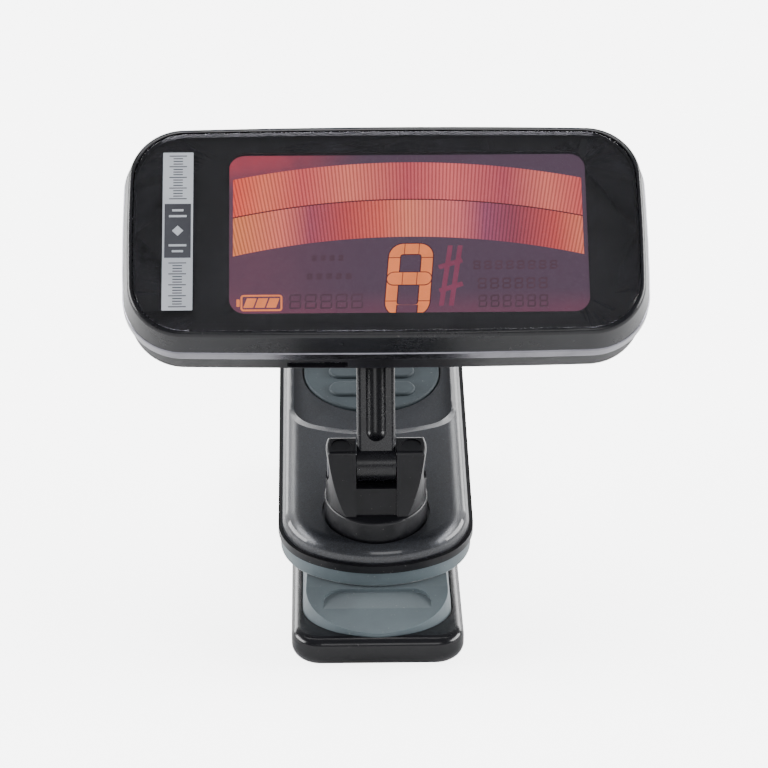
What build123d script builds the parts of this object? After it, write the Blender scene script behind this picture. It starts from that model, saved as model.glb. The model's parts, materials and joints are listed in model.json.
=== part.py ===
from build123d import *
import os
from math import asin, atan2, cos, hypot, pi, radians, sin, sqrt, tan

# A clip-on tuner: a sprung clamp of two arms, a swivel with a friction hinge on the upper arm,
# a short stem, and a wide display head that tilts on the stem's far end.
# Millimetres. +Z is up, the jaws point along -Y, and the display faces -Y, leaning back.
# The origin is on the flat underside of the lower arm, straight below the clamp's pivot axis.

# ---- clamp ----
ARM_SLOPE = 12.0  # nose-down angle of the closed upper arm, degrees
PIVOT_Z = 12.7
PIVOT_PIN_R = 1.0
PIVOT_BORE_GAP = 0.04
LUG_R = 2.1
LUG_T = 1.8
LOWER_LUG_FOOT = 4.7  # half the width of a lug's foot
UPPER_LUG_FOOT = 3.5
UPPER_LUG_X = 5.9  # inner face of each upper lug
LUG_SIDE_GAP = 0.3
PIN_HEAD_R = 1.7
PIN_HEAD_T = 0.6
RING_T = 0.5

# ---- upper arm, in its own frame: origin on the pivot axis, z square to the arm ----
UPPER_W = 25.4
NOSE_Y = -28.4
TAIL_Y = 27.0
NOSE_CORNER_R = 8.5
NOSE_ARC_R = 17.0
TAIL_CORNER_R = 7.0
TAIL_ARC_R = 40.0
PAD_FACE_Z = 0.08  # gripping face of the upper pad
UPPER_PAD_T = 2.4
RIM_T = 1.1
COVER_T = 2.4
COVER_INSET = 0.5
COVER_EDGE_R = 2.2
SKIRT_T = 0.9
SKIRT_DEPTH = 3.0
SKIRT_FRONT_Y = -9.0
SKIRT_REAR_Y = 12.0
COVER_SCREW_Y = 18.0
COVER_SCREW_HEAD_T = 0.55
COVER_SCREW_SINK = 0.65  # depth of its head's seat in the frame
COVER_SCREW_BITE = 0.9  # how far its tip runs into the cover
PAD_INSET = 0.3
PAD_REAR_Y = -12.0

# ---- thumb dish and thumb pad, in the upper arm's frame ----
DISH_DEPTH = 1.05
DISH_FRONT_Y = -2.8
DISH_FRONT_R = 23.0
DISH_CORNER_R = 5.5
DISH_SIDE_INSET = 0.9  # from the arm's side to the dish's upper edge
DISH_WALL = 2.4  # width of the sloping wall at the front
DISH_SIDE_WALL = 1.1
THUMB_R = 9.3
THUMB_CENTRE_Y = 13.3
THUMB_REAR_Y = 23.8
THUMB_GAP = 0.25
THUMB_PROUD = 0.35
RIB_L = 11.8
RIB_W = 3.2
RIB_H = 0.45
RIB_PITCH = 4.2
RIB_FIRST_Y = 8.7
RIB_COUNT = 4

# ---- lower arm ----
LOWER_W = 22.0
LOWER_FRONT_Y = -36.7
LOWER_REAR_Y = 27.5
LOWER_T = 4.1
LOWER_CORNER_R = 3.8
LOWER_EDGE_R = 1.2
LOWER_BASE_R = 2.0
LOWER_FLOOR = 1.4
LOWER_WALL = 1.5
TRAY_FRONT_Y = -9.0

# ---- lower pad ----
LOWER_PAD_W = 19.4
LOWER_PAD_TOP_W = 17.2
LOWER_PAD_FRONT_Y = -35.9
LOWER_PAD_SEAT = 0.6
PAD_ROUND = 0.88  # depth of its rounded front over half its width
RAMP_TOP_Y = -27.2
RAMP_END_H = 0.35
PADS_GAP = 0.08  # below the pivot plane, so that the closed pads stand clear of each other
SCOOP_W = 13.8
SCOOP_DEPTH = 0.55
SCOOP_LENGTH = 3.8
SCOOP_CORNER_R = 2.4
GRIP_T = 1.0
GRIP_FRONT_Y = 6.5
GRIP_W = 15.0
GRIP_CORNER_R = 5.0
GRIP_RECESS = 0.1

# ---- torsion spring ----
WIRE_R = 0.42
COIL_R = 1.68
COIL_TURNS = 7.0
COIL_PITCH = 1.05
SPRING_LEG = 16.0
SPRING_TOUCH = 0.02

# ---- swivel and its clevis: origin on the upper arm's top face, z along the swivel axis ----
SWIVEL_FROM_NOSE = 8.9
DRUM_R = 6.65
DRUM_GAP = 0.35
DRUM_SINK = 0.5
DRUM_H = 2.8
EAR_R = 6.45
EAR_TOP_H = 10.5
EAR_FOOT_Y = 5.2
EAR_TOP_Y = 1.7
HINGE_H = 7.7
SLOT_W = 5.2
WEB_TOP_H = 5.9
WEB_STEP = 0.5  # how far the web stands back from the ears' faces
POCKET_GAP = 0.25
STUB_R = 3.05
STUB_GAP = 0.05
WASHER_R = 4.6
WASHER_T = 0.4
WASHER_GAP = 0.05
SCREW_HEAD_R = 1.95
SCREW_HEAD_T = 1.1
SCREW_R = 1.1
SWIVEL_SCREW_R = 0.9
SWIVEL_SCREW_HEAD_R = 2.0
SWIVEL_SCREW_HEAD_T = 0.6
SWIVEL_SCREW_L = 4.1
SCREW_TIP_GAP = 0.4
THREAD_GAP = 0.02  # a screw's or a pressed shank's hole, radially
RECESS_R = 2.25
RECESS_FLOOR_X = 5.2
MARK_R = 1.25
MARK_DEPTH = 0.15

# ---- stem ----
STEM_LEAN = 21.0  # lean back from the vertical, degrees
STEM_LENGTH = 18.6  # between its two hinge axes
STEM_W = 4.9
STEM_T = 4.0
STEM_EDGE_R = 0.55
BARREL_R = 2.55
BARREL_GAP = 0.1  # each side, in its clevis
FLUTE_R = 1.5
FLUTE_DEPTH = 0.7
HINGE_BORE_GAP = 0.04

# ---- head: origin at the centre of its front face, y to the back, z up the face ----
HEAD_LEAN = 45.0  # lean back from the vertical, degrees
HEAD_W = 66.0
HEAD_H = 30.2
HEAD_T = 11.3
FRONT_T = 3.8
TRIM_T = 2.0
TRIM_PROUD = 0.15
HEAD_CORNER_R = 7.6
HEAD_CROWN = 0.45
FRONT_DRAFT = 0.75
REAR_DRAFT = 0.7
FRONT_EDGE_R = 0.7
REAR_EDGE_R = 1.6
WALL = 1.3
REAR_WALL = 1.4
LENS_BORDER = 1.4  # from the head's outline to the lens's edge
LENS_R = 6.6
LENS_T = 1.15
LENS_SINK = 0.05
LENS_GAP = 0.1
TAPE_T = 0.15
PLATE_T = 0.75
WINDOW_W = 44.8
WINDOW_H = 22.0
WINDOW_X = 2.8
WINDOW_R = 2.0
PLATE_MARGIN = 0.3
LCD_W = 46.4
LCD_H = 23.4
LCD_T = 1.5
LAYER_GAP = 0.1
DIFFUSER_T = 0.9
ZEBRA_W = 40.0
ZEBRA_H = 1.2
BOARD_SIDE_GAP = 4.5  # from the head's outline to the board
BOARD_TOP_GAP = 2.6
BOARD_T = 0.8
BOARD_Y = 5.0  # front face of the circuit board

# ---- what the head holds behind the board ----
CELL_R = 10.0
CELL_T = 3.2
CELL_FROM_SIDE = 16.2
CELL_Y = 6.15
TRAY_GAP = 0.25
TRAY_WALL = 0.75
DOOR_GRIP = 1.0  # how much wider the door's face is than its plug
DOOR_T = 0.8
DOOR_GAP = 0.15
PLUG_GAP = 0.15  # between the cell and the plug's ring
PLUG_WALL = 0.75
TAB_T = 0.6
TAB_REACH = 0.65
TAB_ANGLE = 26.0
COIN_SLOT_L = 13.0
COIN_SLOT_W = 1.8
COIN_SLOT_DEPTH = 0.4
PIEZO_R = 5.4
PIEZO_T = 0.3
PIEZO_X = -1.3
PIEZO_Z = -3.4
CERAMIC_R = 3.6
CERAMIC_T = 0.2
BUTTON_L = 5.2
BUTTON_W = 3.4
BUTTON_PROUD = 0.7
BUTTON_GAP = 0.15
BUTTON_FLANGE = 0.5
BUTTON_TRAVEL = 0.4
BUTTON_Z = 5.0
BUTTON_XS = (-9.0, -16.5, -24.0)
SWITCH_W = 4.4
SWITCH_T = 1.6
PORT_X = -8.7
PORT_W = 7.6
PORT_H = 2.3
PORT_Y = 8.5
PORT_DEPTH = 5.0
PORT_WALL = 0.25
POST_FROM_SIDE = 4.9
POST_FROM_TOP = 4.7
POST_R = 1.9
SHELL_SCREW_R = 0.75
SHELL_SCREW_HEAD_R = 1.5
SHELL_SCREW_HEAD_T = 0.75
SHELL_SCREW_SINK = 1.0
SHELL_SCREW_TIP = 0.6  # from its tip to the bottom of its hole
HEAD_SINK_GAP = 0.1  # round a sunk screw head

# ---- head hinge ----
HEAD_HINGE_X = -1.3  # the head hangs a little off the stem's middle
HEAD_HINGE_Z = -5.8
HEAD_HINGE_OUT = 3.1  # hinge axis beyond the back of the head
HEAD_LUG_R = 2.6
HEAD_LUG_FLARE = 1.6  # how much wider each side it is where it meets the shell

# ---- worked out from the above ----
RIM_Z = PAD_FACE_Z + UPPER_PAD_T
COVER_Z = RIM_Z + RIM_T
ARM_TOP = COVER_Z + COVER_T
DISH_Z = ARM_TOP - DISH_DEPTH
STUB_L = ARM_TOP - COVER_Z  # the swivel's stub fills the cover's thickness
SWIVEL_Y = NOSE_Y + SWIVEL_FROM_NOSE
LOWER_LUG_X = UPPER_LUG_X + LUG_T + LUG_SIDE_GAP
PIN_END_X = LOWER_LUG_X + LUG_T + LUG_SIDE_GAP
BARREL_W = SLOT_W - 2 * BARREL_GAP
HINGE_BORE_R = SCREW_R + HINGE_BORE_GAP
TRIM_Y = FRONT_T
REAR_Y = FRONT_T + TRIM_T
INNER_BACK_Y = HEAD_T - REAR_WALL
TAPE_Y = LENS_SINK + LENS_T
PLATE_Y = TAPE_Y + TAPE_T
LCD_Y = PLATE_Y + PLATE_T + LAYER_GAP
DIFFUSER_Y = LCD_Y + LCD_T
BOARD_BACK_Y = BOARD_Y + BOARD_T
HEAD_HINGE_Y = HEAD_T + HEAD_HINGE_OUT
LENS_W = HEAD_W - 2 * LENS_BORDER
LENS_H = HEAD_H - 2 * LENS_BORDER
BOARD_W = HEAD_W - 2 * BOARD_SIDE_GAP
BOARD_H = HEAD_H - 2 * BOARD_TOP_GAP
POST_X = HEAD_W / 2 - POST_FROM_SIDE
POST_Z = HEAD_H / 2 - POST_FROM_TOP
CELL_X = HEAD_W / 2 - CELL_FROM_SIDE
TRAY_R = CELL_R + TRAY_GAP + TRAY_WALL
PLUG_R = CELL_R + PLUG_GAP + PLUG_WALL
TAB_R = PLUG_R + TAB_REACH
DOOR_R = PLUG_R + DOOR_GRIP
OVER = 1.0  # how far a cutter runs past the face it opens

ARM_FRAME = Pos(0, 0, PIVOT_Z) * Rot(ARM_SLOPE, 0, 0)
SWIVEL_FRAME = ARM_FRAME * Pos(0, SWIVEL_Y, ARM_TOP)
STEM_FRAME = SWIVEL_FRAME * Pos(0, 0, HINGE_H) * Rot(-STEM_LEAN - ARM_SLOPE, 0, 0)
HEAD_FRAME = (
    STEM_FRAME
    * Pos(0, 0, STEM_LENGTH)
    * Rot(STEM_LEAN - HEAD_LEAN, 0, 0)
    * Pos(-HEAD_HINGE_X, -HEAD_HINGE_Y, -HEAD_HINGE_Z)
)
WORLD = Pos(0, 0, 0)


# ---- helpers ----
def along_x(x0, x1, sketch):
    """A sketch drawn in (y, z), made solid from x0 to x1."""
    plane = Plane(origin=(x0, 0, 0), x_dir=(0, 1, 0), z_dir=(1, 0, 0))
    return extrude(plane * sketch, x1 - x0, dir=(1, 0, 0))


def rod_x(radius, x0, x1, y=0.0, z=0.0):
    """A round rod along X between x0 and x1."""
    return along_x(x0, x1, Pos(y, z) * Circle(radius))


def up_z(z0, z1, sketch):
    """A sketch drawn in (x, y), made solid from z0 to z1."""
    return extrude(Pos(0, 0, z0) * sketch, z1 - z0, dir=(0, 0, 1))


def to_back(y0, y1, sketch):
    """A sketch drawn in (x, z), made solid from y0 to y1."""
    plane = Plane(origin=(0, y0, 0), x_dir=(1, 0, 0), z_dir=(0, -1, 0))
    return extrude(plane * sketch, y1 - y0, dir=(0, 1, 0))


def rod_y(radius, y0, y1, x=0.0, z=0.0):
    """A round rod along Y between y0 and y1."""
    return to_back(y0, y1, Pos(x, z) * Circle(radius))


def arm_outline(inset=0.0, front=NOSE_Y, rear=TAIL_Y):
    """The upper arm's plan: straight sides, a broad round nose and a slightly bowed tail."""
    half = UPPER_W / 2 - inset
    nose_r = NOSE_ARC_R - inset
    tail_r = TAIL_ARC_R - inset
    nose_side = front + inset + nose_r - sqrt(nose_r**2 - half**2)
    tail_side = rear - inset - tail_r + sqrt(tail_r**2 - half**2)
    edges = [
        ThreePointArc((-half, nose_side), (0, front + inset), (half, nose_side)),
        Line((half, nose_side), (half, tail_side)),
        ThreePointArc((half, tail_side), (0, rear - inset), (-half, tail_side)),
        Line((-half, tail_side), (-half, nose_side)),
    ]
    face = make_face(edges)
    front_corners = face.vertices().filter_by(lambda v: v.Y < 0)
    face = fillet(front_corners, NOSE_CORNER_R - inset)
    rear_corners = face.vertices().sort_by(Axis.Y)[-2:]
    return fillet(rear_corners, TAIL_CORNER_R - inset)


def bowed_rectangle(width, height, radius, crown):
    """A rectangle whose four sides bow outwards by crown, with round corners."""
    w = width / 2 - crown
    h = height / 2 - crown
    edges = [
        ThreePointArc((-w, -h), (0, -h - crown), (w, -h)),
        ThreePointArc((w, -h), (w + crown, 0), (w, h)),
        ThreePointArc((w, h), (0, h + crown), (-w, h)),
        ThreePointArc((-w, h), (-w - crown, 0), (-w, -h)),
    ]
    face = make_face(edges)
    return fillet(face.vertices(), radius)


def head_outline(inset=0.0):
    """The head's outline at its widest, or inside it by inset."""
    return bowed_rectangle(
        HEAD_W - 2 * inset, HEAD_H - 2 * inset, HEAD_CORNER_R - inset, HEAD_CROWN
    )


def head_block(y0, inset0, y1, inset1):
    """A block of the head between two depths, drafted from one inset to the other."""
    first = Plane(origin=(0, y0, 0), x_dir=(1, 0, 0), z_dir=(0, -1, 0)) * head_outline(inset0)
    last = Plane(origin=(0, y1, 0), x_dir=(1, 0, 0), z_dir=(0, -1, 0)) * head_outline(inset1)
    return loft([first, last])


def lug_profile(foot_half, height):
    """A pivot lug in (along, up): round about the pin, widening to a foot at that height."""
    foot = Polygon(
        (-LUG_R, 0), (LUG_R, 0), (foot_half, height), (-foot_half, height), align=None
    )
    return Circle(LUG_R) + foot


def both_sides(x0, x1, sketch):
    """The same slab on the left and on the right of the middle plane."""
    return along_x(x0, x1, sketch) + along_x(-x1, -x0, sketch)


def slotted_head(radius, thickness):
    """A low screw head on z = 0 with a cross recess, its top at z = thickness."""
    head = up_z(0, thickness, Circle(radius))
    head = fillet(head.faces().sort_by(Axis.Z)[-1].edges(), thickness * 0.35)
    arm = radius * 1.1
    cross = Rectangle(arm, radius * 0.26) + Rectangle(radius * 0.26, arm)
    return head - up_z(thickness * 0.45, thickness + OVER, cross)


# ---- the lower arm and what is fixed to it ----
def lower_pad_outline(width):
    """The lower pad's plan: a rounded front, straight sides and a square rear."""
    shrink = (LOWER_PAD_W - width) / 2
    half = width / 2
    front = LOWER_PAD_FRONT_Y + shrink
    shoulder = front + half * PAD_ROUND
    edges = [
        Line((-half, PAD_REAR_Y), (-half, shoulder)),
        EllipticalCenterArc((0, shoulder), half, shoulder - front, 180, arc_size=180),
        Line((half, shoulder), (half, PAD_REAR_Y)),
        Line((half, PAD_REAR_Y), (-half, PAD_REAR_Y)),
    ]
    return make_face(edges)


def pivot_plane_z(y):
    """Height of the closed jaws' meeting plane at y."""
    return PIVOT_Z + y * tan(radians(ARM_SLOPE))


def lower_arm():
    length = LOWER_REAR_Y - LOWER_FRONT_Y
    middle = (LOWER_REAR_Y + LOWER_FRONT_Y) / 2
    plan = Pos(0, middle) * RectangleRounded(LOWER_W, length, LOWER_CORNER_R)
    body = up_z(0, LOWER_T, plan)
    body = fillet(body.faces().sort_by(Axis.Z)[-1].edges(), LOWER_EDGE_R)
    body = fillet(body.faces().sort_by(Axis.Z)[0].edges(), LOWER_BASE_R)
    tray_rear = LOWER_REAR_Y - LOWER_WALL
    tray_plan = Pos(0, (TRAY_FRONT_Y + tray_rear) / 2) * RectangleRounded(
        LOWER_W - 2 * LOWER_WALL, tray_rear - TRAY_FRONT_Y, LOWER_CORNER_R - LOWER_WALL
    )
    body -= up_z(LOWER_FLOOR, LOWER_T + OVER, tray_plan)
    body -= up_z(LOWER_T - LOWER_PAD_SEAT, LOWER_T + OVER, lower_pad_outline(LOWER_PAD_W))
    upside_down = Rot(0, 0, 180)
    lug = Pos(0, PIVOT_Z) * upside_down * lug_profile(LOWER_LUG_FOOT, PIVOT_Z - LOWER_FLOOR)
    body += both_sides(LOWER_LUG_X, LOWER_LUG_X + LUG_T, lug)
    body -= rod_x(PIVOT_PIN_R + PIVOT_BORE_GAP, -LOWER_W, LOWER_W, 0, PIVOT_Z)
    return body - up_z(-OVER, GRIP_T, grip_outline(0.0))


def grip_outline(inset):
    """Plan of the finger grip let into the lower arm's underside."""
    rear = LOWER_REAR_Y - LOWER_WALL - 1.0
    return Pos(0, (GRIP_FRONT_Y + rear) / 2) * RectangleRounded(
        GRIP_W - 2 * inset, rear - GRIP_FRONT_Y - 2 * inset, GRIP_CORNER_R - inset
    )


def lower_grip_pad():
    pad = up_z(GRIP_RECESS, GRIP_T, grip_outline(0.05))
    for n in range(RIB_COUNT):
        y = GRIP_FRONT_Y + 3.2 + n * RIB_PITCH
        pad -= up_z(-OVER, GRIP_RECESS + 0.3, Pos(0, y) * SlotOverall(10.0, 1.2))
    return pad


def lower_pad():
    """A rubber wedge: its top is parallel to the closed upper pad, then ramps down to the tip."""
    rear_h = pivot_plane_z(PAD_REAR_Y) - PADS_GAP
    crest_h = pivot_plane_z(RAMP_TOP_Y) - PADS_GAP
    foot = LOWER_T - LOWER_PAD_SEAT
    height = rear_h - foot
    plinth = Plane(origin=(0, 0, foot)) * lower_pad_outline(LOWER_PAD_W - 0.1)
    cap = Plane(origin=(0, 0, foot + height)) * lower_pad_outline(LOWER_PAD_TOP_W)
    block = loft([plinth, cap])
    side = Polygon(
        (LOWER_PAD_FRONT_Y - OVER, foot),
        (LOWER_PAD_FRONT_Y - OVER, LOWER_T + RAMP_END_H),
        (LOWER_PAD_FRONT_Y, LOWER_T + RAMP_END_H),
        (RAMP_TOP_Y, crest_h),
        (PAD_REAR_Y, rear_h),
        (PAD_REAR_Y, foot),
        align=None,
    )
    pad = block & along_x(-LOWER_W, LOWER_W, side)
    ramp = atan2(crest_h - LOWER_T - RAMP_END_H, RAMP_TOP_Y - LOWER_PAD_FRONT_Y)
    back_y = RAMP_TOP_Y - 0.3
    back_z = crest_h - 0.3 * tan(ramp) - SCOOP_DEPTH
    slope = ramp - atan2(SCOOP_DEPTH, SCOOP_LENGTH)
    scoop_plane = Plane(
        origin=(0, back_y, back_z), x_dir=(1, 0, 0), z_dir=(0, -sin(slope), cos(slope))
    )
    scoop = Pos(0, -SCOOP_LENGTH) * RectangleRounded(
        SCOOP_W, 2 * SCOOP_LENGTH, SCOOP_CORNER_R
    )
    return pad - extrude(scoop_plane * scoop, 3.0)


def pivot_pin():
    pin = rod_x(PIVOT_PIN_R, -PIN_END_X, PIN_END_X + RING_T + 0.3, 0, PIVOT_Z)
    head = rod_x(PIN_HEAD_R, -PIN_END_X - PIN_HEAD_T, -PIN_END_X, 0, PIVOT_Z)
    head = fillet(head.faces().sort_by(Axis.X)[0].edges(), PIN_HEAD_T * 0.5)
    groove = rod_x(PIVOT_PIN_R + OVER, PIN_END_X, PIN_END_X + RING_T, 0, PIVOT_Z)
    groove -= rod_x(PIVOT_PIN_R - 0.25, PIN_END_X, PIN_END_X + RING_T, 0, PIVOT_Z)
    return pin + head - groove


def retaining_ring():
    """An open spring clip seated in the pin's groove."""
    ring = rod_x(PIN_HEAD_R + 0.3, PIN_END_X + 0.05, PIN_END_X + RING_T - 0.05, 0, PIVOT_Z)
    ring -= rod_x(PIVOT_PIN_R - 0.2, PIN_END_X - OVER, PIN_END_X + OVER, 0, PIVOT_Z)
    mouth = along_x(
        PIN_END_X - OVER, PIN_END_X + OVER, Pos(0, PIVOT_Z - 2.0) * Rectangle(1.1, 4.0)
    )
    return ring - mouth


def leg_angle(drop):
    """Slope of a spring leg whose tip stands off the pivot axis by drop."""
    reach = hypot(SPRING_LEG, COIL_R)
    return asin(drop / reach) - atan2(COIL_R, SPRING_LEG)


def torsion_spring():
    """A wound steel spring round the pivot pin, with one leg against each arm's tail."""
    low = leg_angle(PIVOT_Z - LOWER_FLOOR - WIRE_R - SPRING_TOUCH)
    high = leg_angle(RIM_Z - WIRE_R - SPRING_TOUCH) + radians(ARM_SLOPE)
    turns = COIL_TURNS - 0.5 - (low + high) / (2 * pi)
    length = turns * COIL_PITCH
    helix = Helix(pitch=COIL_PITCH, height=length, radius=COIL_R)
    first = Plane(origin=helix @ 0, z_dir=helix % 0)
    last = Plane(origin=helix @ 1, z_dir=helix % 1)
    coil = sweep(first * Circle(WIRE_R), path=helix)
    coil += extrude(first * Circle(WIRE_R), SPRING_LEG, dir=-(helix % 0))
    coil += extrude(last * Circle(WIRE_R), SPRING_LEG, dir=helix % 1)
    place = Plane(
        origin=(length / 2, 0, PIVOT_Z), x_dir=(0, -sin(low), -cos(low)), z_dir=(-1, 0, 0)
    )
    return place.location * coil


# ---- the upper arm ----
def skirt_profile():
    """A shallow hump under the rim, as seen from the side."""
    middle = (SKIRT_FRONT_Y + SKIRT_REAR_Y) / 2
    edges = [
        ThreePointArc(
            (SKIRT_FRONT_Y, RIM_Z), (middle, RIM_Z - SKIRT_DEPTH), (SKIRT_REAR_Y, RIM_Z)
        ),
        Line((SKIRT_REAR_Y, RIM_Z), (SKIRT_FRONT_Y, RIM_Z)),
    ]
    return make_face(edges)


def upper_arm_frame():
    rim = up_z(RIM_Z, COVER_Z, arm_outline())
    skirt = both_sides(UPPER_W / 2 - SKIRT_T, UPPER_W / 2, skirt_profile())
    body = rim + skirt
    body += both_sides(UPPER_LUG_X, UPPER_LUG_X + LUG_T, lug_profile(UPPER_LUG_FOOT, RIM_Z))
    body -= rod_x(PIVOT_PIN_R + PIVOT_BORE_GAP, -UPPER_W, UPPER_W)
    body -= up_z(RIM_Z - OVER, COVER_Z + OVER, Pos(0, SWIVEL_Y) * Circle(WASHER_R + 0.6))
    for x, y in cover_screw_places():
        sink = Pos(x, y) * Circle(SHELL_SCREW_HEAD_R + HEAD_SINK_GAP)
        body -= up_z(RIM_Z - OVER, RIM_Z + COVER_SCREW_SINK + 0.05, sink)
        body -= up_z(RIM_Z - OVER, COVER_Z + OVER, Pos(x, y) * Circle(SHELL_SCREW_R + 0.05))
    return body


def cover_screw_places():
    """Two screws hold the cover, one each side, between the lugs and the tail."""
    x = THUMB_R + (UPPER_W / 2 - THUMB_R) * 0.42
    return [(-x, COVER_SCREW_Y), (x, COVER_SCREW_Y)]


def thumb_outline(inset=0.0):
    """The thumb pad's plan: a round front and a squarer rear."""
    half = THUMB_R - inset
    rear = THUMB_REAR_Y - inset
    edges = [
        ThreePointArc(
            (-half, THUMB_CENTRE_Y), (0, THUMB_CENTRE_Y - half), (half, THUMB_CENTRE_Y)
        ),
        Line((half, THUMB_CENTRE_Y), (half, rear)),
        Line((half, rear), (-half, rear)),
        Line((-half, rear), (-half, THUMB_CENTRE_Y)),
    ]
    face = make_face(edges)
    return fillet(face.vertices().sort_by(Axis.Y)[-2:], 5.0 - inset)


def dish_outline(front_inset, side_inset):
    """The thumb dish at one depth: a bowed front, straight sides, open past the tail."""
    half = UPPER_W / 2 - DISH_SIDE_INSET - side_inset
    front = DISH_FRONT_Y + front_inset
    corner = front + DISH_FRONT_R - sqrt(DISH_FRONT_R**2 - half**2)
    end = TAIL_Y + 5.0
    edges = [
        ThreePointArc((-half, corner), (0, front), (half, corner)),
        Line((half, corner), (half, end)),
        Line((half, end), (-half, end)),
        Line((-half, end), (-half, corner)),
    ]
    face = make_face(edges)
    return fillet(face.vertices().sort_by(Axis.Y)[:2], DISH_CORNER_R - side_inset)


def upper_arm_cover():
    cover = up_z(COVER_Z, ARM_TOP, arm_outline(COVER_INSET))
    cover = fillet(cover.faces().sort_by(Axis.Z)[-1].edges(), COVER_EDGE_R)
    low = Plane(origin=(0, 0, DISH_Z)) * dish_outline(DISH_WALL, DISH_SIDE_WALL)
    high = Plane(origin=(0, 0, ARM_TOP)) * dish_outline(0.0, 0.0)
    cover -= loft([low, high])
    cover -= up_z(COVER_Z - OVER, ARM_TOP + OVER, thumb_outline(-THUMB_GAP))
    seat = Pos(0, SWIVEL_Y)
    cover -= up_z(ARM_TOP - DRUM_SINK, ARM_TOP + OVER, seat * Circle(DRUM_R + DRUM_GAP))
    cover -= up_z(COVER_Z - OVER, ARM_TOP + OVER, seat * Circle(STUB_R + STUB_GAP))
    for x, y in cover_screw_places():
        hole_top = COVER_Z + COVER_SCREW_BITE + 0.05
        cover -= up_z(COVER_Z - OVER, hole_top, Pos(x, y) * Circle(SHELL_SCREW_R))
    return cover


def cover_screws():
    places = cover_screw_places()
    seat = RIM_Z + COVER_SCREW_SINK
    head = Rot(180, 0, 0) * slotted_head(SHELL_SCREW_HEAD_R, COVER_SCREW_HEAD_T)
    shank = up_z(0, COVER_Z + COVER_SCREW_BITE - seat, Circle(SHELL_SCREW_R - THREAD_GAP))
    screw = Pos(0, 0, seat) * (head + shank)
    return Compound(children=[Pos(x, y) * screw for x, y in places])


def thumb_pad():
    pad = up_z(COVER_Z, DISH_Z + THUMB_PROUD, thumb_outline())
    pad = fillet(pad.faces().sort_by(Axis.Z)[-1].edges(), THUMB_PROUD * 0.9)
    for n in range(RIB_COUNT):
        plan = Pos(0, RIB_FIRST_Y + n * RIB_PITCH) * SlotOverall(RIB_L, RIB_W)
        rib = up_z(DISH_Z, DISH_Z + THUMB_PROUD + RIB_H, plan)
        pad += fillet(rib.faces().sort_by(Axis.Z)[-1].edges(), RIB_H * 0.8)
    return pad


def upper_pad():
    pad = up_z(PAD_FACE_Z, RIM_Z, arm_outline(PAD_INSET))
    pad -= up_z(PAD_FACE_Z - OVER, RIM_Z + OVER, Pos(0, PAD_REAR_Y + 25) * Rectangle(50, 50))
    face = pad.faces().sort_by(Axis.Z)[0]
    return fillet(face.edges(), 0.4)


# ---- the swivel with its clevis ----
def ear_profile(back, foot_h):
    """The ears seen from the side, from foot_h up: wide at the foot, narrow at the top."""
    foot_y = EAR_FOOT_Y - back
    top_y = EAR_TOP_Y - back
    return Polygon(
        (-foot_y, foot_h), (foot_y, foot_h), (top_y, EAR_TOP_H), (-top_y, EAR_TOP_H), align=None
    )


def swivel_base():
    drum = up_z(-DRUM_SINK + 0.05, DRUM_H, Circle(DRUM_R))
    drum = fillet(drum.faces().sort_by(Axis.Z)[-1].edges(), 0.3)
    ears = along_x(-DRUM_R, DRUM_R, ear_profile(0.0, DRUM_H - 0.2)) & up_z(0, EAR_TOP_H, Circle(EAR_R))
    ears = fillet(ears.faces().sort_by(Axis.Z)[-1].edges(), 0.5)
    body = drum + ears
    body += up_z(-STUB_L, 0, Circle(STUB_R))
    slot = Pos(0, (WEB_TOP_H + EAR_TOP_H + OVER) / 2) * Rectangle(
        4 * DRUM_R, EAR_TOP_H + OVER - WEB_TOP_H
    )
    body -= along_x(-SLOT_W / 2, SLOT_W / 2, slot)
    faces = ear_profile(0.0, DRUM_H) - ear_profile(WEB_STEP, DRUM_H)
    body -= along_x(-SLOT_W / 2, SLOT_W / 2, faces)
    body -= rod_x(BARREL_R + POCKET_GAP, -SLOT_W / 2, SLOT_W / 2, 0, HINGE_H)
    body -= rod_x(SCREW_R + THREAD_GAP, -DRUM_R - OVER, DRUM_R + OVER, 0, HINGE_H)
    body -= rod_x(RECESS_R, RECESS_FLOOR_X, DRUM_R + OVER, 0, HINGE_H)
    body -= rod_x(RECESS_R, -DRUM_R - OVER, -RECESS_FLOOR_X, 0, HINGE_H)
    mark_x = (SLOT_W / 2 + EAR_R) / 2
    for x in (-mark_x, mark_x):
        body -= up_z(EAR_TOP_H - MARK_DEPTH, EAR_TOP_H + OVER, Pos(x, 0) * Circle(MARK_R))
    bore_top = SWIVEL_SCREW_L + SCREW_TIP_GAP - WASHER_T - WASHER_GAP - STUB_L
    body -= up_z(-ARM_TOP, bore_top, Circle(SWIVEL_SCREW_R + THREAD_GAP))
    return body


def swivel_washer():
    """A flat washer under the cover, which the screw draws up to the stub."""
    top = -STUB_L - WASHER_GAP
    return up_z(top - WASHER_T, top, Circle(WASHER_R) - Circle(SWIVEL_SCREW_R + 0.1))


def swivel_screw():
    seat = -STUB_L - WASHER_GAP - WASHER_T
    head = Rot(180, 0, 0) * slotted_head(SWIVEL_SCREW_HEAD_R, SWIVEL_SCREW_HEAD_T)
    shank = up_z(0, SWIVEL_SCREW_L, Circle(SWIVEL_SCREW_R))
    return Pos(0, 0, seat) * (head + shank)


def hinge_screw():
    """Screw across a clevis, its head against the left ear's recess floor. Its axis is local X."""
    shank = rod_x(SCREW_R, -RECESS_FLOOR_X, RECESS_FLOOR_X + SCREW_HEAD_T)
    head = Rot(0, -90, 0) * slotted_head(SCREW_HEAD_R, SCREW_HEAD_T)
    return shank + Pos(-RECESS_FLOOR_X, 0, 0) * head


def hinge_nut():
    hexagon = RegularPolygon(SCREW_HEAD_R, 6) - Circle(SCREW_R + THREAD_GAP)
    nut = along_x(0, SCREW_HEAD_T - 0.1, hexagon)
    return Pos(RECESS_FLOOR_X, 0, 0) * nut


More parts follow.
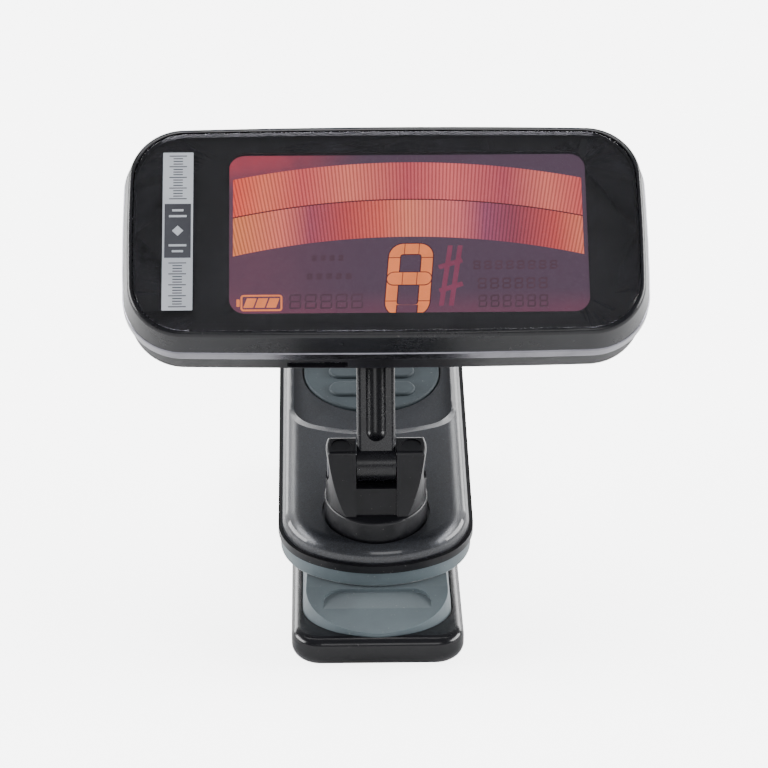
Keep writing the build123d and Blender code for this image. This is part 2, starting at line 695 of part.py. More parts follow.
# ---- the stem ----
def stem():
    foot = rod_x(BARREL_R, -BARREL_W / 2, BARREL_W / 2)
    top = rod_x(BARREL_R, -BARREL_W / 2, BARREL_W / 2, 0, STEM_LENGTH)
    shaft = up_z(0, STEM_LENGTH, Rectangle(STEM_W, STEM_T))
    shaft = fillet(shaft.edges().filter_by(Axis.Z), STEM_EDGE_R)
    body = shaft + foot + top
    low = BARREL_R + FLUTE_R
    high = STEM_LENGTH - low
    for side in (-1, 1):
        y = side * (STEM_T / 2 + FLUTE_R - FLUTE_DEPTH)
        body -= up_z(low, high, Pos(0, y) * Circle(FLUTE_R))
        body -= Pos(0, y, low) * Sphere(FLUTE_R)
        body -= Pos(0, y, high) * Sphere(FLUTE_R)
    body -= rod_x(HINGE_BORE_R, -STEM_W, STEM_W)
    return body - rod_x(HINGE_BORE_R, -STEM_W, STEM_W, 0, STEM_LENGTH)


# ---- the head's shells and front ----
def post_places():
    return [(sx * POST_X, sz * POST_Z) for sx in (-1, 1) for sz in (-1, 1)]


def lens_outline(grow=0.0):
    return bowed_rectangle(LENS_W + 2 * grow, LENS_H + 2 * grow, LENS_R + grow, HEAD_CROWN * 0.7)


def window_outline(grow=0.0):
    return Pos(WINDOW_X, 0) * RectangleRounded(
        WINDOW_W + 2 * grow, WINDOW_H + 2 * grow, WINDOW_R + grow
    )


def front_shell():
    shell = head_block(0, FRONT_DRAFT, FRONT_T, 0)
    shell = fillet(shell.faces().sort_by(Axis.Y)[0].edges(), FRONT_EDGE_R)
    shell -= to_back(-OVER, PLATE_Y, lens_outline(LENS_GAP))
    shell -= to_back(PLATE_Y + PLATE_T, FRONT_T + OVER, head_outline(WALL + FRONT_DRAFT))
    shell -= to_back(0, FRONT_T, window_outline(PLATE_MARGIN))
    for x, z in post_places():
        post = rod_y(POST_R, PLATE_Y + PLATE_T - 0.1, BOARD_BACK_Y, x, z)
        shell += post & to_back(0, HEAD_T, head_outline(WALL * 0.6))
        shell -= rod_y(SHELL_SCREW_R, PLATE_Y + PLATE_T, BOARD_BACK_Y + OVER, x, z)
    return shell


def trim_ring():
    ring = to_back(TRIM_Y, REAR_Y, head_outline(-TRIM_PROUD))
    ring = fillet(ring.edges().filter_by(lambda e: abs(e.center().Y - TRIM_Y) < 0.01), 0.3)
    ring = fillet(ring.edges().filter_by(lambda e: abs(e.center().Y - REAR_Y) < 0.01), 0.3)
    ring -= to_back(TRIM_Y - OVER, REAR_Y + OVER, head_outline(WALL))
    return ring


def rear_shell():
    shell = head_block(REAR_Y, 0, HEAD_T, REAR_DRAFT)
    shell = fillet(shell.faces().sort_by(Axis.Y)[-1].edges(), REAR_EDGE_R)
    shell -= to_back(REAR_Y - OVER, INNER_BACK_Y, head_outline(WALL + REAR_DRAFT))
    lug = Pos(HEAD_HINGE_Y, HEAD_HINGE_Z) * Circle(HEAD_LUG_R) + Polygon(
        (HEAD_HINGE_Y, HEAD_HINGE_Z + HEAD_LUG_R),
        (INNER_BACK_Y, HEAD_HINGE_Z + HEAD_LUG_R + HEAD_LUG_FLARE),
        (INNER_BACK_Y, HEAD_HINGE_Z - HEAD_LUG_R - HEAD_LUG_FLARE),
        (HEAD_HINGE_Y, HEAD_HINGE_Z - HEAD_LUG_R),
        align=None,
    )
    lug_x = SLOT_W / 2
    shell += Pos(HEAD_HINGE_X, 0, 0) * both_sides(lug_x, RECESS_FLOOR_X, lug)
    bore = rod_x(SCREW_R + THREAD_GAP, -DRUM_R, DRUM_R, HEAD_HINGE_Y, HEAD_HINGE_Z)
    shell -= Pos(HEAD_HINGE_X, 0, 0) * bore
    for x, z in post_places():
        boss = rod_y(POST_R, BOARD_BACK_Y + 0.05, INNER_BACK_Y + 0.1, x, z)
        shell += boss & to_back(0, HEAD_T, head_outline(WALL * 0.8))
        shell -= rod_y(SHELL_SCREW_R + 0.1, BOARD_Y, HEAD_T + OVER, x, z)
        sink = SHELL_SCREW_HEAD_R + HEAD_SINK_GAP
        shell -= rod_y(sink, HEAD_T - SHELL_SCREW_SINK, HEAD_T + OVER, x, z)
    shell -= rod_y(PLUG_R + DOOR_GAP, REAR_Y, HEAD_T + OVER, CELL_X)
    shell -= rod_y(DOOR_R + DOOR_GAP, HEAD_T - DOOR_T, HEAD_T + OVER, CELL_X)
    shell -= door_tabs(TAB_R + DOOR_GAP, INNER_BACK_Y - OVER, HEAD_T + OVER, 35.0, 4.0)
    for x in BUTTON_XS:
        hole = Pos(x, BUTTON_Z) * SlotOverall(
            BUTTON_L + 2 * BUTTON_GAP, BUTTON_W + 2 * BUTTON_GAP
        )
        shell -= to_back(INNER_BACK_Y - OVER, HEAD_T + OVER, hole)
    port = Pos(PORT_X, PORT_Y) * RectangleRounded(PORT_W, PORT_H, 0.5)
    return shell - up_z(-HEAD_H, -HEAD_H / 2 + WALL + REAR_DRAFT + 0.5, port)


def display_lens():
    lens = to_back(LENS_SINK, TAPE_Y, lens_outline())
    return fillet(lens.faces().sort_by(Axis.Y)[0].edges(), 0.15)


def lens_tape():
    """A die-cut black adhesive frame, whose inner edge borders the visible window."""
    return to_back(TAPE_Y, PLATE_Y, lens_outline(-0.3) - window_outline())


def lcd_panel():
    return to_back(LCD_Y, DIFFUSER_Y, Pos(WINDOW_X, 0) * Rectangle(LCD_W, LCD_H))


def backlight_diffuser():
    plate = Pos(WINDOW_X, 0) * Rectangle(LCD_W - 0.6, LCD_H - 2 * ZEBRA_H - 1.0)
    return to_back(DIFFUSER_Y, DIFFUSER_Y + DIFFUSER_T, plate)


def zebra_strips():
    """Two elastomer connectors between the display glass and the board."""
    z = LCD_H / 2 - ZEBRA_H / 2 - 0.1
    strips = [
        to_back(DIFFUSER_Y, BOARD_Y, Pos(WINDOW_X, side * z) * Rectangle(ZEBRA_W, ZEBRA_H))
        for side in (-1, 1)
    ]
    return Compound(children=strips)


def circuit_board():
    board = to_back(BOARD_Y, BOARD_BACK_Y, RectangleRounded(BOARD_W, BOARD_H, 1.0))
    for x, z in post_places():
        board -= rod_y(POST_R + 0.25, BOARD_Y - OVER, BOARD_BACK_Y + OVER, x, z)
    return board


def controller_chip():
    plan = Pos(-8.0, -5.5) * Rectangle(6.0, 6.0)
    return to_back(BOARD_BACK_Y, BOARD_BACK_Y + 1.0, plan)


def button_switches():
    """Three tact switches on the board, one under each button."""
    plan = RectangleRounded(SWITCH_W, SWITCH_W * 0.8, 0.3)
    return Compound(
        children=[
            to_back(BOARD_BACK_Y, BOARD_BACK_Y + SWITCH_T, Pos(x, BUTTON_Z) * plan)
            for x in BUTTON_XS
        ]
    )


# ---- battery bay ----
def coin_cell():
    can = rod_y(CELL_R, CELL_Y + 0.5, CELL_Y + CELL_T, CELL_X)
    can = fillet(can.faces().sort_by(Axis.Y)[-1].edges(), 0.4)
    cap = rod_y(CELL_R - 1.2, CELL_Y, CELL_Y + 0.5, CELL_X)
    return can + cap


def battery_tray():
    tray = rod_y(TRAY_R, BOARD_BACK_Y, CELL_Y + CELL_T - 0.7, CELL_X)
    tray -= rod_y(CELL_R + TRAY_GAP, BOARD_BACK_Y - OVER, CELL_Y + CELL_T, CELL_X)
    notch = Pos(CELL_X, TRAY_R) * Rectangle(6.0, 6.0)
    return tray - to_back(BOARD_BACK_Y - OVER, CELL_Y + CELL_T, notch)


def negative_contact():
    """A sprung leaf on the board, bearing on the cell's small face."""
    leaf = Polygon(
        (BOARD_BACK_Y, -5.0),
        (BOARD_BACK_Y + 0.15, -5.0),
        (CELL_Y, -0.5),
        (CELL_Y, 0.5),
        (CELL_Y - 0.15, 0.5),
        (BOARD_BACK_Y, -4.4),
        align=None,
    )
    return along_x(CELL_X - 1.5, CELL_X + 1.5, leaf)


def positive_contact():
    """A bent strip that rises from the board and presses on the can's rim."""
    z = CELL_R
    strip = Polygon(
        (BOARD_BACK_Y, z + 1.4),
        (BOARD_BACK_Y, z + 0.3),
        (BOARD_BACK_Y + 0.2, z + 0.3),
        (BOARD_BACK_Y + 0.2, z + 0.9),
        (CELL_Y + 2.4, z + 0.05),
        (CELL_Y + 2.4, z + 0.25),
        (BOARD_BACK_Y + 0.6, z + 1.4),
        align=None,
    )
    return along_x(CELL_X - 2.0, CELL_X + 2.0, strip)


def door_tabs(radius, y0, y1, turn, widen):
    """Two opposed bayonet tabs about the battery bay's axis, turned by some degrees."""
    half = TAB_ANGLE / 2 + widen
    reach = 2 * radius
    wedge = Polygon(
        (0, 0),
        (reach * cos(radians(half)), reach * sin(radians(half))),
        (reach * cos(radians(half)), -reach * sin(radians(half))),
        align=None,
    )
    pair = Rot(0, 0, turn) * wedge + Rot(0, 0, turn + 180) * wedge
    tabs = (pair & Circle(radius)) - Circle(PLUG_R - 0.4)
    return to_back(y0, y1, Pos(CELL_X, 0) * tabs)


def battery_door():
    door = rod_y(DOOR_R, HEAD_T - DOOR_T + 0.03, HEAD_T, CELL_X)
    door = fillet(door.faces().sort_by(Axis.Y)[-1].edges(), 0.25)
    tab_back = INNER_BACK_Y - 0.06
    door += rod_y(PLUG_R, tab_back - TAB_T, HEAD_T - DOOR_T + 0.1, CELL_X)
    door += door_tabs(TAB_R, tab_back - TAB_T, tab_back, 0.0, 0.0)
    door -= rod_y(CELL_R + PLUG_GAP, tab_back - TAB_T - OVER, CELL_Y + CELL_T + 0.08, CELL_X)
    slot = Pos(CELL_X, 0) * SlotOverall(COIN_SLOT_L, COIN_SLOT_W)
    return door - to_back(HEAD_T - COIN_SLOT_DEPTH, HEAD_T + OVER, slot)


# ---- other head pieces ----
def button(x):
    """A button cap with a flange inside the wall that keeps it in."""
    plan = Pos(x, BUTTON_Z) * SlotOverall(BUTTON_L, BUTTON_W)
    cap = to_back(INNER_BACK_Y - 0.3, HEAD_T + BUTTON_PROUD, plan)
    cap = fillet(cap.faces().sort_by(Axis.Y)[-1].edges(), 0.45)
    flange = Pos(x, BUTTON_Z) * SlotOverall(
        BUTTON_L + 2 * BUTTON_FLANGE, BUTTON_W + 2 * BUTTON_FLANGE
    )
    switch_top = BOARD_BACK_Y + SWITCH_T
    stalk = rod_y(0.9, switch_top + BUTTON_TRAVEL + 0.05, INNER_BACK_Y, x, BUTTON_Z)
    return cap + to_back(INNER_BACK_Y - 0.55, INNER_BACK_Y - 0.05, flange) + stalk


def piezo_sensor():
    """A brass disc with a ceramic face, bonded inside the back wall beside the hinge."""
    back = INNER_BACK_Y - 0.02
    disc = rod_y(PIEZO_R, back - PIEZO_T, back, PIEZO_X, PIEZO_Z)
    return disc + rod_y(CERAMIC_R, back - PIEZO_T - CERAMIC_T, back - PIEZO_T, PIEZO_X, PIEZO_Z)


def service_port():
    """A small flat socket: a steel shell round a tongue, open at the head's bottom edge."""
    bottom = -HEAD_H / 2 + REAR_DRAFT + 0.4
    plan = RectangleRounded(PORT_W - 0.1, PORT_H - 0.1, 0.45)
    inner = RectangleRounded(PORT_W - 0.1 - 2 * PORT_WALL, PORT_H - 0.1 - 2 * PORT_WALL, 0.3)
    place = Pos(PORT_X, PORT_Y)
    shell = up_z(bottom, bottom + PORT_DEPTH, place * plan)
    shell -= up_z(bottom - OVER, bottom + PORT_DEPTH - 0.5, place * inner)
    tongue = place * Rectangle(PORT_W * 0.55, 0.6)
    return shell + up_z(bottom + 0.6, bottom + PORT_DEPTH - 0.2, tongue)


def shell_screws():
    seat_y = HEAD_T - SHELL_SCREW_SINK
    head = Rot(-90, 0, 0) * slotted_head(SHELL_SCREW_HEAD_R, SHELL_SCREW_HEAD_T)
    tip_y = PLATE_Y + PLATE_T + SHELL_SCREW_TIP
    shank = rod_y(SHELL_SCREW_R - THREAD_GAP, tip_y - seat_y, 0)
    screw = head + shank
    return Compound(children=[Pos(x, seat_y, z) * screw for x, z in post_places()])


def head_hinge_screw():
    return Pos(HEAD_HINGE_X, HEAD_HINGE_Y, HEAD_HINGE_Z) * hinge_screw()


def head_hinge_nut():
    return Pos(HEAD_HINGE_X, HEAD_HINGE_Y, HEAD_HINGE_Z) * hinge_nut()


NODES = {
    "lower_arm": (WORLD, lower_arm),
    "lower_jaw_pad": (WORLD, lower_pad),
    "lower_grip_pad": (WORLD, lower_grip_pad),
    "pivot_pin": (WORLD, pivot_pin),
    "pivot_retaining_ring": (WORLD, retaining_ring),
    "torsion_spring": (WORLD, torsion_spring),
    "upper_arm_frame": (ARM_FRAME, upper_arm_frame),
    "upper_arm_cover": (ARM_FRAME, upper_arm_cover),
    "upper_jaw_pad": (ARM_FRAME, upper_pad),
    "thumb_pad": (ARM_FRAME, thumb_pad),
    "cover_screws": (ARM_FRAME, cover_screws),
    "swivel_base": (SWIVEL_FRAME, swivel_base),
    "swivel_washer": (SWIVEL_FRAME, swivel_washer),
    "swivel_screw": (SWIVEL_FRAME, swivel_screw),
    "stem_hinge_screw": (SWIVEL_FRAME * Pos(0, 0, HINGE_H), hinge_screw),
    "stem_hinge_nut": (SWIVEL_FRAME * Pos(0, 0, HINGE_H), hinge_nut),
    "stem": (STEM_FRAME, stem),
    "front_shell": (HEAD_FRAME, front_shell),
    "trim_ring": (HEAD_FRAME, trim_ring),
    "rear_shell": (HEAD_FRAME, rear_shell),
    "display_lens": (HEAD_FRAME, display_lens),
    "lens_adhesive_frame": (HEAD_FRAME, lens_tape),
    "lcd_panel": (HEAD_FRAME, lcd_panel),
    "backlight_diffuser": (HEAD_FRAME, backlight_diffuser),
    "zebra_connectors": (HEAD_FRAME, zebra_strips),
    "circuit_board": (HEAD_FRAME, circuit_board),
    "controller_chip": (HEAD_FRAME, controller_chip),
    "button_switches": (HEAD_FRAME, button_switches),
    "coin_cell": (HEAD_FRAME, coin_cell),
    "battery_tray": (HEAD_FRAME, battery_tray),
    "negative_contact": (HEAD_FRAME, negative_contact),
    "positive_contact": (HEAD_FRAME, positive_contact),
    "battery_door": (HEAD_FRAME, battery_door),
    "power_button": (HEAD_FRAME, lambda: button(BUTTON_XS[0])),
    "menu_button": (HEAD_FRAME, lambda: button(BUTTON_XS[1])),
    "preset_button": (HEAD_FRAME, lambda: button(BUTTON_XS[2])),
    "piezo_sensor": (HEAD_FRAME, piezo_sensor),
    "service_port": (HEAD_FRAME, service_port),
    "shell_screws": (HEAD_FRAME, shell_screws),
    "head_hinge_screw": (HEAD_FRAME, head_hinge_screw),
    "head_hinge_nut": (HEAD_FRAME, head_hinge_nut),
}

os.makedirs("parts", exist_ok=True)
for name, (place, build) in NODES.items():
    export_step(place * build(), f"parts/{name}.step")
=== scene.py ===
# %% Load the frame
import json
from math import asin, atan2, cos, hypot, pi, radians, sin

import bmesh
import bpy
from mathutils import Matrix, Vector


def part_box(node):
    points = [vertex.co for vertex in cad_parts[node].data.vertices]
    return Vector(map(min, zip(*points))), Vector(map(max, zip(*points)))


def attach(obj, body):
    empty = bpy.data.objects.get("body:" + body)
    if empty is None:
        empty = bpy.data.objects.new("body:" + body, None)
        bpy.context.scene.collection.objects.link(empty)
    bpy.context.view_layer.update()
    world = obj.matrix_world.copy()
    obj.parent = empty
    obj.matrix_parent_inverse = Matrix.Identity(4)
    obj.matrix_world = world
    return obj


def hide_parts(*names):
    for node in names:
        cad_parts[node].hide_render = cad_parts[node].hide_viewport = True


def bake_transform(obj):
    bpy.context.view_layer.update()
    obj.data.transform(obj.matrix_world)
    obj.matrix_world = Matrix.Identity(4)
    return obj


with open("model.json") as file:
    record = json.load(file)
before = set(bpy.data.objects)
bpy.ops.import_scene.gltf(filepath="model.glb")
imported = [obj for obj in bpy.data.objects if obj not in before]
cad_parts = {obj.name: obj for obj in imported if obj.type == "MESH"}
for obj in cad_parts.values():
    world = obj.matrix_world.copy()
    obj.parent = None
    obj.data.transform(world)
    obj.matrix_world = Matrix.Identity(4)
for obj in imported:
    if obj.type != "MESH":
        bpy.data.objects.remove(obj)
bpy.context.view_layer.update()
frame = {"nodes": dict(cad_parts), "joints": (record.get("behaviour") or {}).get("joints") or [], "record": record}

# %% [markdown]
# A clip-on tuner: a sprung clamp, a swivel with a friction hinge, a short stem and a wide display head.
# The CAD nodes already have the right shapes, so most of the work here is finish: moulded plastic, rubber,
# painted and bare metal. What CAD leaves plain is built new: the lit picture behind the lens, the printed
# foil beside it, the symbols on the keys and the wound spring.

MM = 0.001
scene = bpy.context.scene
nodes = frame["nodes"]

# %% [markdown]
# The head leans back, so its pieces are easier to place in the head's own axes: u to the right, v to the
# back and w up the face. The keys press straight towards the front, so the power key's joint gives the
# direction of v, and the middle of the lens gives the origin.

# %% The head's own axes
joints = {joint["name"]: joint for joint in frame["joints"]}
HEAD_BACK = -Vector(joints["power_press"]["axis"]).normalized()
HEAD_RIGHT = Vector((1, 0, 0))
HEAD_UP = HEAD_RIGHT.cross(HEAD_BACK)


def box_in_head(name, origin=Vector((0, 0, 0))):
    """Lowest and highest (u, v, w) of a part, in millimetres from origin."""
    points = [vertex.co - origin for vertex in nodes[name].data.vertices]
    spans = [[point.dot(axis) / MM for point in points] for axis in (HEAD_RIGHT, HEAD_BACK, HEAD_UP)]
    return Vector([min(span) for span in spans]), Vector([max(span) for span in spans])


lens_low, lens_high = box_in_head("display_lens")
middle = (lens_low + lens_high) / 2
HEAD_ORIGIN = (HEAD_RIGHT * middle.x + HEAD_BACK * lens_low.y + HEAD_UP * middle.z) * MM
HEAD_TURN = Matrix((HEAD_RIGHT, HEAD_BACK, HEAD_UP)).transposed().to_4x4()
HEAD_FRAME = Matrix.Translation(HEAD_ORIGIN) @ HEAD_TURN
lcd_low, lcd_high = box_in_head("lcd_panel", HEAD_ORIGIN)
SCREEN_U = (lcd_low.x + lcd_high.x) / 2
SCREEN_DEPTH = lcd_low.y
print("screen is", round(SCREEN_U, 2), "mm right of the lens's middle and", round(SCREEN_DEPTH, 2), "mm deep")

# %% [markdown]
# The camera stands a little to the left, well above the jaws, and far off with a long lens, so that the
# head's edges stay nearly parallel.

# %% Camera
LENS_MM = 152.5
AIM = Vector((1.16, -15.0, 30.0)) * MM
DISTANCE = 421 * MM
AZIMUTH = radians(-1.2)
ELEVATION = radians(23.0)
towards = Vector((sin(AZIMUTH) * cos(ELEVATION), -cos(AZIMUTH) * cos(ELEVATION), sin(ELEVATION)))
camera_data = bpy.data.cameras.new("camera")
camera_data.lens = LENS_MM
camera_data.sensor_width = 36
camera_data.clip_start = 0.01
camera = bpy.data.objects.new("camera", camera_data)
camera.location = AIM + towards * DISTANCE
camera.rotation_euler = (-towards).to_track_quat("-Z", "Y").to_euler()
scene.collection.objects.link(camera)
scene.camera = camera
print("camera at", [round(c / MM) for c in camera.location], "mm")

# %% [markdown]
# Product light: one large soft box over the object and one strip each side for the bright lines along
# the edges. A long panel low behind it is what the arm's rounded shoulders and the dish's wall mirror.
# The box in front is weak, because the black faces that look that way stay nearly black.

# %% Lights


def soft_box(name, place, size, power, aim=AIM):
    """A rectangular area light at place, in metres, turned to aim."""
    data = bpy.data.lights.new(name, "AREA")
    data.shape = "RECTANGLE"
    data.size, data.size_y = size
    data.energy = power
    lamp = bpy.data.objects.new(name, data)
    lamp.location = place
    lamp.rotation_euler = (aim - Vector(place)).to_track_quat("-Z", "Y").to_euler()
    scene.collection.objects.link(lamp)
    return lamp


soft_box("top_box", (0.0, 0.12, 0.65), (0.8, 0.26), 5.0)
soft_box("left_strip", (-0.5, 0.02, 0.18), (0.5, 0.16), 5.5)
soft_box("right_strip", (0.5, 0.02, 0.18), (0.5, 0.16), 5.5)
soft_box("front_box", (0.1, -0.7, 0.30), (0.3, 0.2), 0.9)
soft_box("back_panel", (0.0, 0.7, 0.16), (1.3, 0.2), 7.0)
world = bpy.data.worlds.new("studio")
world.use_nodes = True
world.node_tree.nodes["Background"].inputs["Color"].default_value = (0.93, 0.95, 1.0, 1)
world.node_tree.nodes["Background"].inputs["Strength"].default_value = 0.36
scene.world = world

# %% [markdown]
# Node helpers. A finish is a chain of nodes ending in one Principled shader. What several finishes share
# is a node group, made once here and placed in each material with its own values.

# %% Node helpers


def add_node(tree, kind, settings=None, **inputs):
    """A node with its settings and its socket values, each a plain value or another node's socket.

    A socket is named, with _ for a space, or given by its number, as in i0.
    """
    node = tree.nodes.new(kind)
    for key, value in (settings or {}).items():
        setattr(node, key, value)
    for key, value in inputs.items():
        by_number = key[0] == "i" and key[1:].isdigit()
        socket = node.inputs[int(key[1:]) if by_number else key.replace("_", " ")]
        if isinstance(value, bpy.types.NodeSocket):
            tree.links.new(value, socket)
        else:
            socket.default_value = value
    return node


def object_point(tree):
    """The shaded point in object coordinates."""
    return add_node(tree, "ShaderNodeTexCoord").outputs["Object"]


def math_node(tree, operation, first, second=0.0, third=0.0):
    """The result of one Math node."""
    settings = {"operation": operation}
    return add_node(tree, "ShaderNodeMath", settings, i0=first, i1=second, i2=third).outputs[0]


def mix_colour(tree, factor, first, second, blend="MIX"):
    """A colour mix, whose sockets 6 and 7 are the two colours and whose output 2 is the colour."""
    settings = {"data_type": "RGBA", "blend_type": blend}
    return add_node(tree, "ShaderNodeMix", settings, i0=factor, i6=first, i7=second).outputs[2]


def noise(tree, vector, size_mm, detail=3.0, roughness=0.55):
    """Noise with features of about size_mm."""
    looks = {"Scale": 1 / (size_mm * MM), "Detail": detail, "Roughness": roughness}
    return add_node(tree, "ShaderNodeTexNoise", Vector=vector, **looks).outputs["Fac"]


def ramp(tree, factor, low, high, out_low=0.0, out_high=1.0):
    """A smooth step of factor from low to high."""
    settings = {"interpolation_type": "SMOOTHSTEP"}
    ends = {"i1": low, "i2": high, "i3": out_low, "i4": out_high}
    return add_node(tree, "ShaderNodeMapRange", settings, i0=factor, **ends).outputs[0]


def new_group(name, inputs, outputs):
    """A shader node group with the named sockets; returns its tree, its given sockets and its results."""
    tree = bpy.data.node_groups.new(name, "ShaderNodeTree")
    for title, kind, value in inputs:
        socket = tree.interface.new_socket(title, in_out="INPUT", socket_type=kind)
        socket.default_value = value
    for title, kind in outputs:
        tree.interface.new_socket(title, in_out="OUTPUT", socket_type=kind)
    return tree, tree.nodes.new("NodeGroupInput").outputs, tree.nodes.new("NodeGroupOutput").inputs


COLOUR = "NodeSocketColor"
VALUE = "NodeSocketFloat"
VECTOR = "NodeSocketVector"
print("node helpers ready")

# %% [markdown]
# Moulded parts carry the texture of their steel mould: a fine, even grain. Over it lie slow changes of
# shade from the way the resin flowed, faint smears from handling, and a little dust. Hard edges get a
# painted highlight: a little of the shade colour added along them. One group makes all of them from a
# point in space, so every moulded part shows the same kind of surface at its own scale.

# %% Shared group: moulded surface
tree, given, out = new_group(
    "moulded_surface",
    [("Colour", COLOUR, (0.02, 0.02, 0.02, 1)), ("Shade", COLOUR, (0.04, 0.04, 0.04, 1)),
     ("Grain Size", VALUE, 0.25), ("Roughness Low", VALUE, 0.3), ("Roughness High", VALUE, 0.45),
     ("Smears", VALUE, 0.5), ("Dust", VALUE, 0.1)],
    [("Colour", COLOUR), ("Roughness", VALUE), ("Height", VALUE)],
)
point = object_point(tree)
grain_scale = math_node(tree, "DIVIDE", 1 / MM, given["Grain Size"])
grain = add_node(tree, "ShaderNodeTexNoise", Vector=point, Scale=grain_scale, Detail=2.0).outputs["Fac"]
pits = add_node(tree, "ShaderNodeTexVoronoi", {"feature": "SMOOTH_F1"}, Vector=point, Scale=grain_scale)
flow = noise(tree, point, 9.0, 4.0)
wiped = add_node(tree, "ShaderNodeMapping", Vector=point, Rotation=(0.4, 0.2, 0.7), Scale=(1.0, 2.8, 1.6))
smear = ramp(tree, noise(tree, wiped.outputs[0], 7.0, 5.0, 0.62), 0.48, 0.72)
specks = ramp(tree, noise(tree, point, 0.35, 1.0), 0.72, 0.80)
# Painted highlight: where the Bevel node's rounded normal departs from the flat normal, a little of the Shade
# colour is added, as if the edge caught the light.
rounded = add_node(tree, "ShaderNodeBevel", {"samples": 4}, Radius=0.22 * MM).outputs[0]
flat = add_node(tree, "ShaderNodeNewGeometry").outputs["Normal"]
likeness = add_node(tree, "ShaderNodeVectorMath", {"operation": "DOT_PRODUCT"}, i0=rounded, i1=flat)
edge = ramp(tree, likeness.outputs["Value"], 0.995, 0.90)
base = mix_colour(tree, ramp(tree, flow, 0.35, 0.68), given["Colour"], given["Shade"])
edge_highlighted = mix_colour(tree, math_node(tree, "MULTIPLY", edge, 0.12), base, given["Shade"], "ADD")
dusty = mix_colour(tree, math_node(tree, "MULTIPLY", specks, given["Dust"]), edge_highlighted, (0.32, 0.31, 0.30, 1))
tree.links.new(dusty, out["Colour"])
spread = math_node(tree, "SUBTRACT", given["Roughness High"], given["Roughness Low"])
smeared = math_node(tree, "MULTIPLY", smear, given["Smears"])
mixed = math_node(tree, "MULTIPLY_ADD", smeared, 0.6, math_node(tree, "MULTIPLY", grain, 0.5))
tree.links.new(math_node(tree, "MULTIPLY_ADD", mixed, spread, given["Roughness Low"]), out["Roughness"])
pitted = math_node(tree, "MULTIPLY", pits.outputs["Distance"], 0.4)
tree.links.new(math_node(tree, "MULTIPLY_ADD", grain, 0.6, pitted), out["Height"])
MOULDED = tree
print("group", MOULDED.name, "with", len(MOULDED.nodes), "nodes")

# %% [markdown]
# Bare metal shows the tool that finished it: fine lines and a slow tarnish. The lines
# follow one direction, so the group stretches its noise along an axis given to it.

# %% Shared group: worked metal
tree, given, out = new_group(
    "worked_metal",
    [("Colour", COLOUR, (0.6, 0.6, 0.6, 1)), ("Tarnish", COLOUR, (0.3, 0.28, 0.26, 1)),
     ("Stretch", VECTOR, (1.0, 12.0, 12.0)), ("Line Size", VALUE, 0.5),
     ("Roughness Low", VALUE, 0.2), ("Roughness High", VALUE, 0.4)],
    [("Colour", COLOUR), ("Roughness", VALUE), ("Height", VALUE)],
)
point = object_point(tree)
stretched = add_node(
    tree, "ShaderNodeVectorMath", {"operation": "MULTIPLY"}, i0=point, i1=given["Stretch"]
).outputs[0]
line_scale = math_node(tree, "DIVIDE", 1 / MM, given["Line Size"])
lines = add_node(tree, "ShaderNodeTexNoise", Vector=stretched, Scale=line_scale, Detail=3.0).outputs["Fac"]
patches = ramp(tree, noise(tree, point, 2.5, 4.0), 0.42, 0.72)
tone = mix_colour(tree, math_node(tree, "MULTIPLY", patches, 0.5), given["Colour"], given["Tarnish"])
streaks = math_node(tree, "MULTIPLY", lines, 0.3)
tree.links.new(mix_colour(tree, streaks, tone, given["Tarnish"]), out["Colour"])
spread = math_node(tree, "SUBTRACT", given["Roughness High"], given["Roughness Low"])
mixed = math_node(tree, "MULTIPLY_ADD", patches, 0.4, math_node(tree, "MULTIPLY", lines, 0.6))
tree.links.new(math_node(tree, "MULTIPLY_ADD", mixed, spread, given["Roughness Low"]), out["Roughness"])
tree.links.new(lines, out["Height"])
METAL = tree
print("group", METAL.name, "with", len(METAL.nodes), "nodes")

# %% [markdown]
# Each finish is a material with its own Principled shader. The group's colour, roughness and height feed
# it, and what is the same all over, such as metallic or specular level, is set on the shader's own socket.

# %% Material makers


def srgb(red, green, blue):
    """A colour given as 0-255 display values, as the linear colour that shaders take."""
    shares = (red / 255, green / 255, blue / 255)
    return tuple(((c + 0.055) / 1.055) ** 2.4 if c > 0.0404 else c / 12.92 for c in shares) + (1.0,)


def new_material(name):
    """An empty node material; returns it with its tree and its Principled shader."""
    material = bpy.data.materials.new(name)
    material.use_nodes = True
    tree = material.node_tree
    return material, tree, tree.nodes["Principled BSDF"]


def use_group(tree, group, **inputs):
    """Places a shared group in a material's tree."""
    return add_node(tree, "ShaderNodeGroup", {"node_tree": group}, **inputs)


def bump_to(tree, shader, height, strength, depth_mm):
    """Feeds a height to the shader's Normal through one Bump node."""
    bump = add_node(tree, "ShaderNodeBump", Height=height, Strength=strength, Distance=depth_mm * MM)
    tree.links.new(bump.outputs[0], shader.inputs["Normal"])


def set_plain(shader, **values):
    """Values that are the same all over the surface."""
    for key, value in values.items():
        shader.inputs[key.replace("_", " ")].default_value = value


def moulded(name, colour, shade, grain, rough, smears=0.5, dust=0.1, bump=0.25, depth=0.02, **plain):
    """A moulded plastic or rubber finish."""
    material, tree, shader = new_material(name)
    surface = use_group(
        tree, MOULDED, Colour=srgb(*colour), Shade=srgb(*shade), Grain_Size=grain,
        Roughness_Low=rough[0], Roughness_High=rough[1], Smears=smears, Dust=dust,
    )
    tree.links.new(surface.outputs["Colour"], shader.inputs["Base Color"])
    tree.links.new(surface.outputs["Roughness"], shader.inputs["Roughness"])
    bump_to(tree, shader, surface.outputs["Height"], bump, depth)
    set_plain(shader, **plain)
    return material


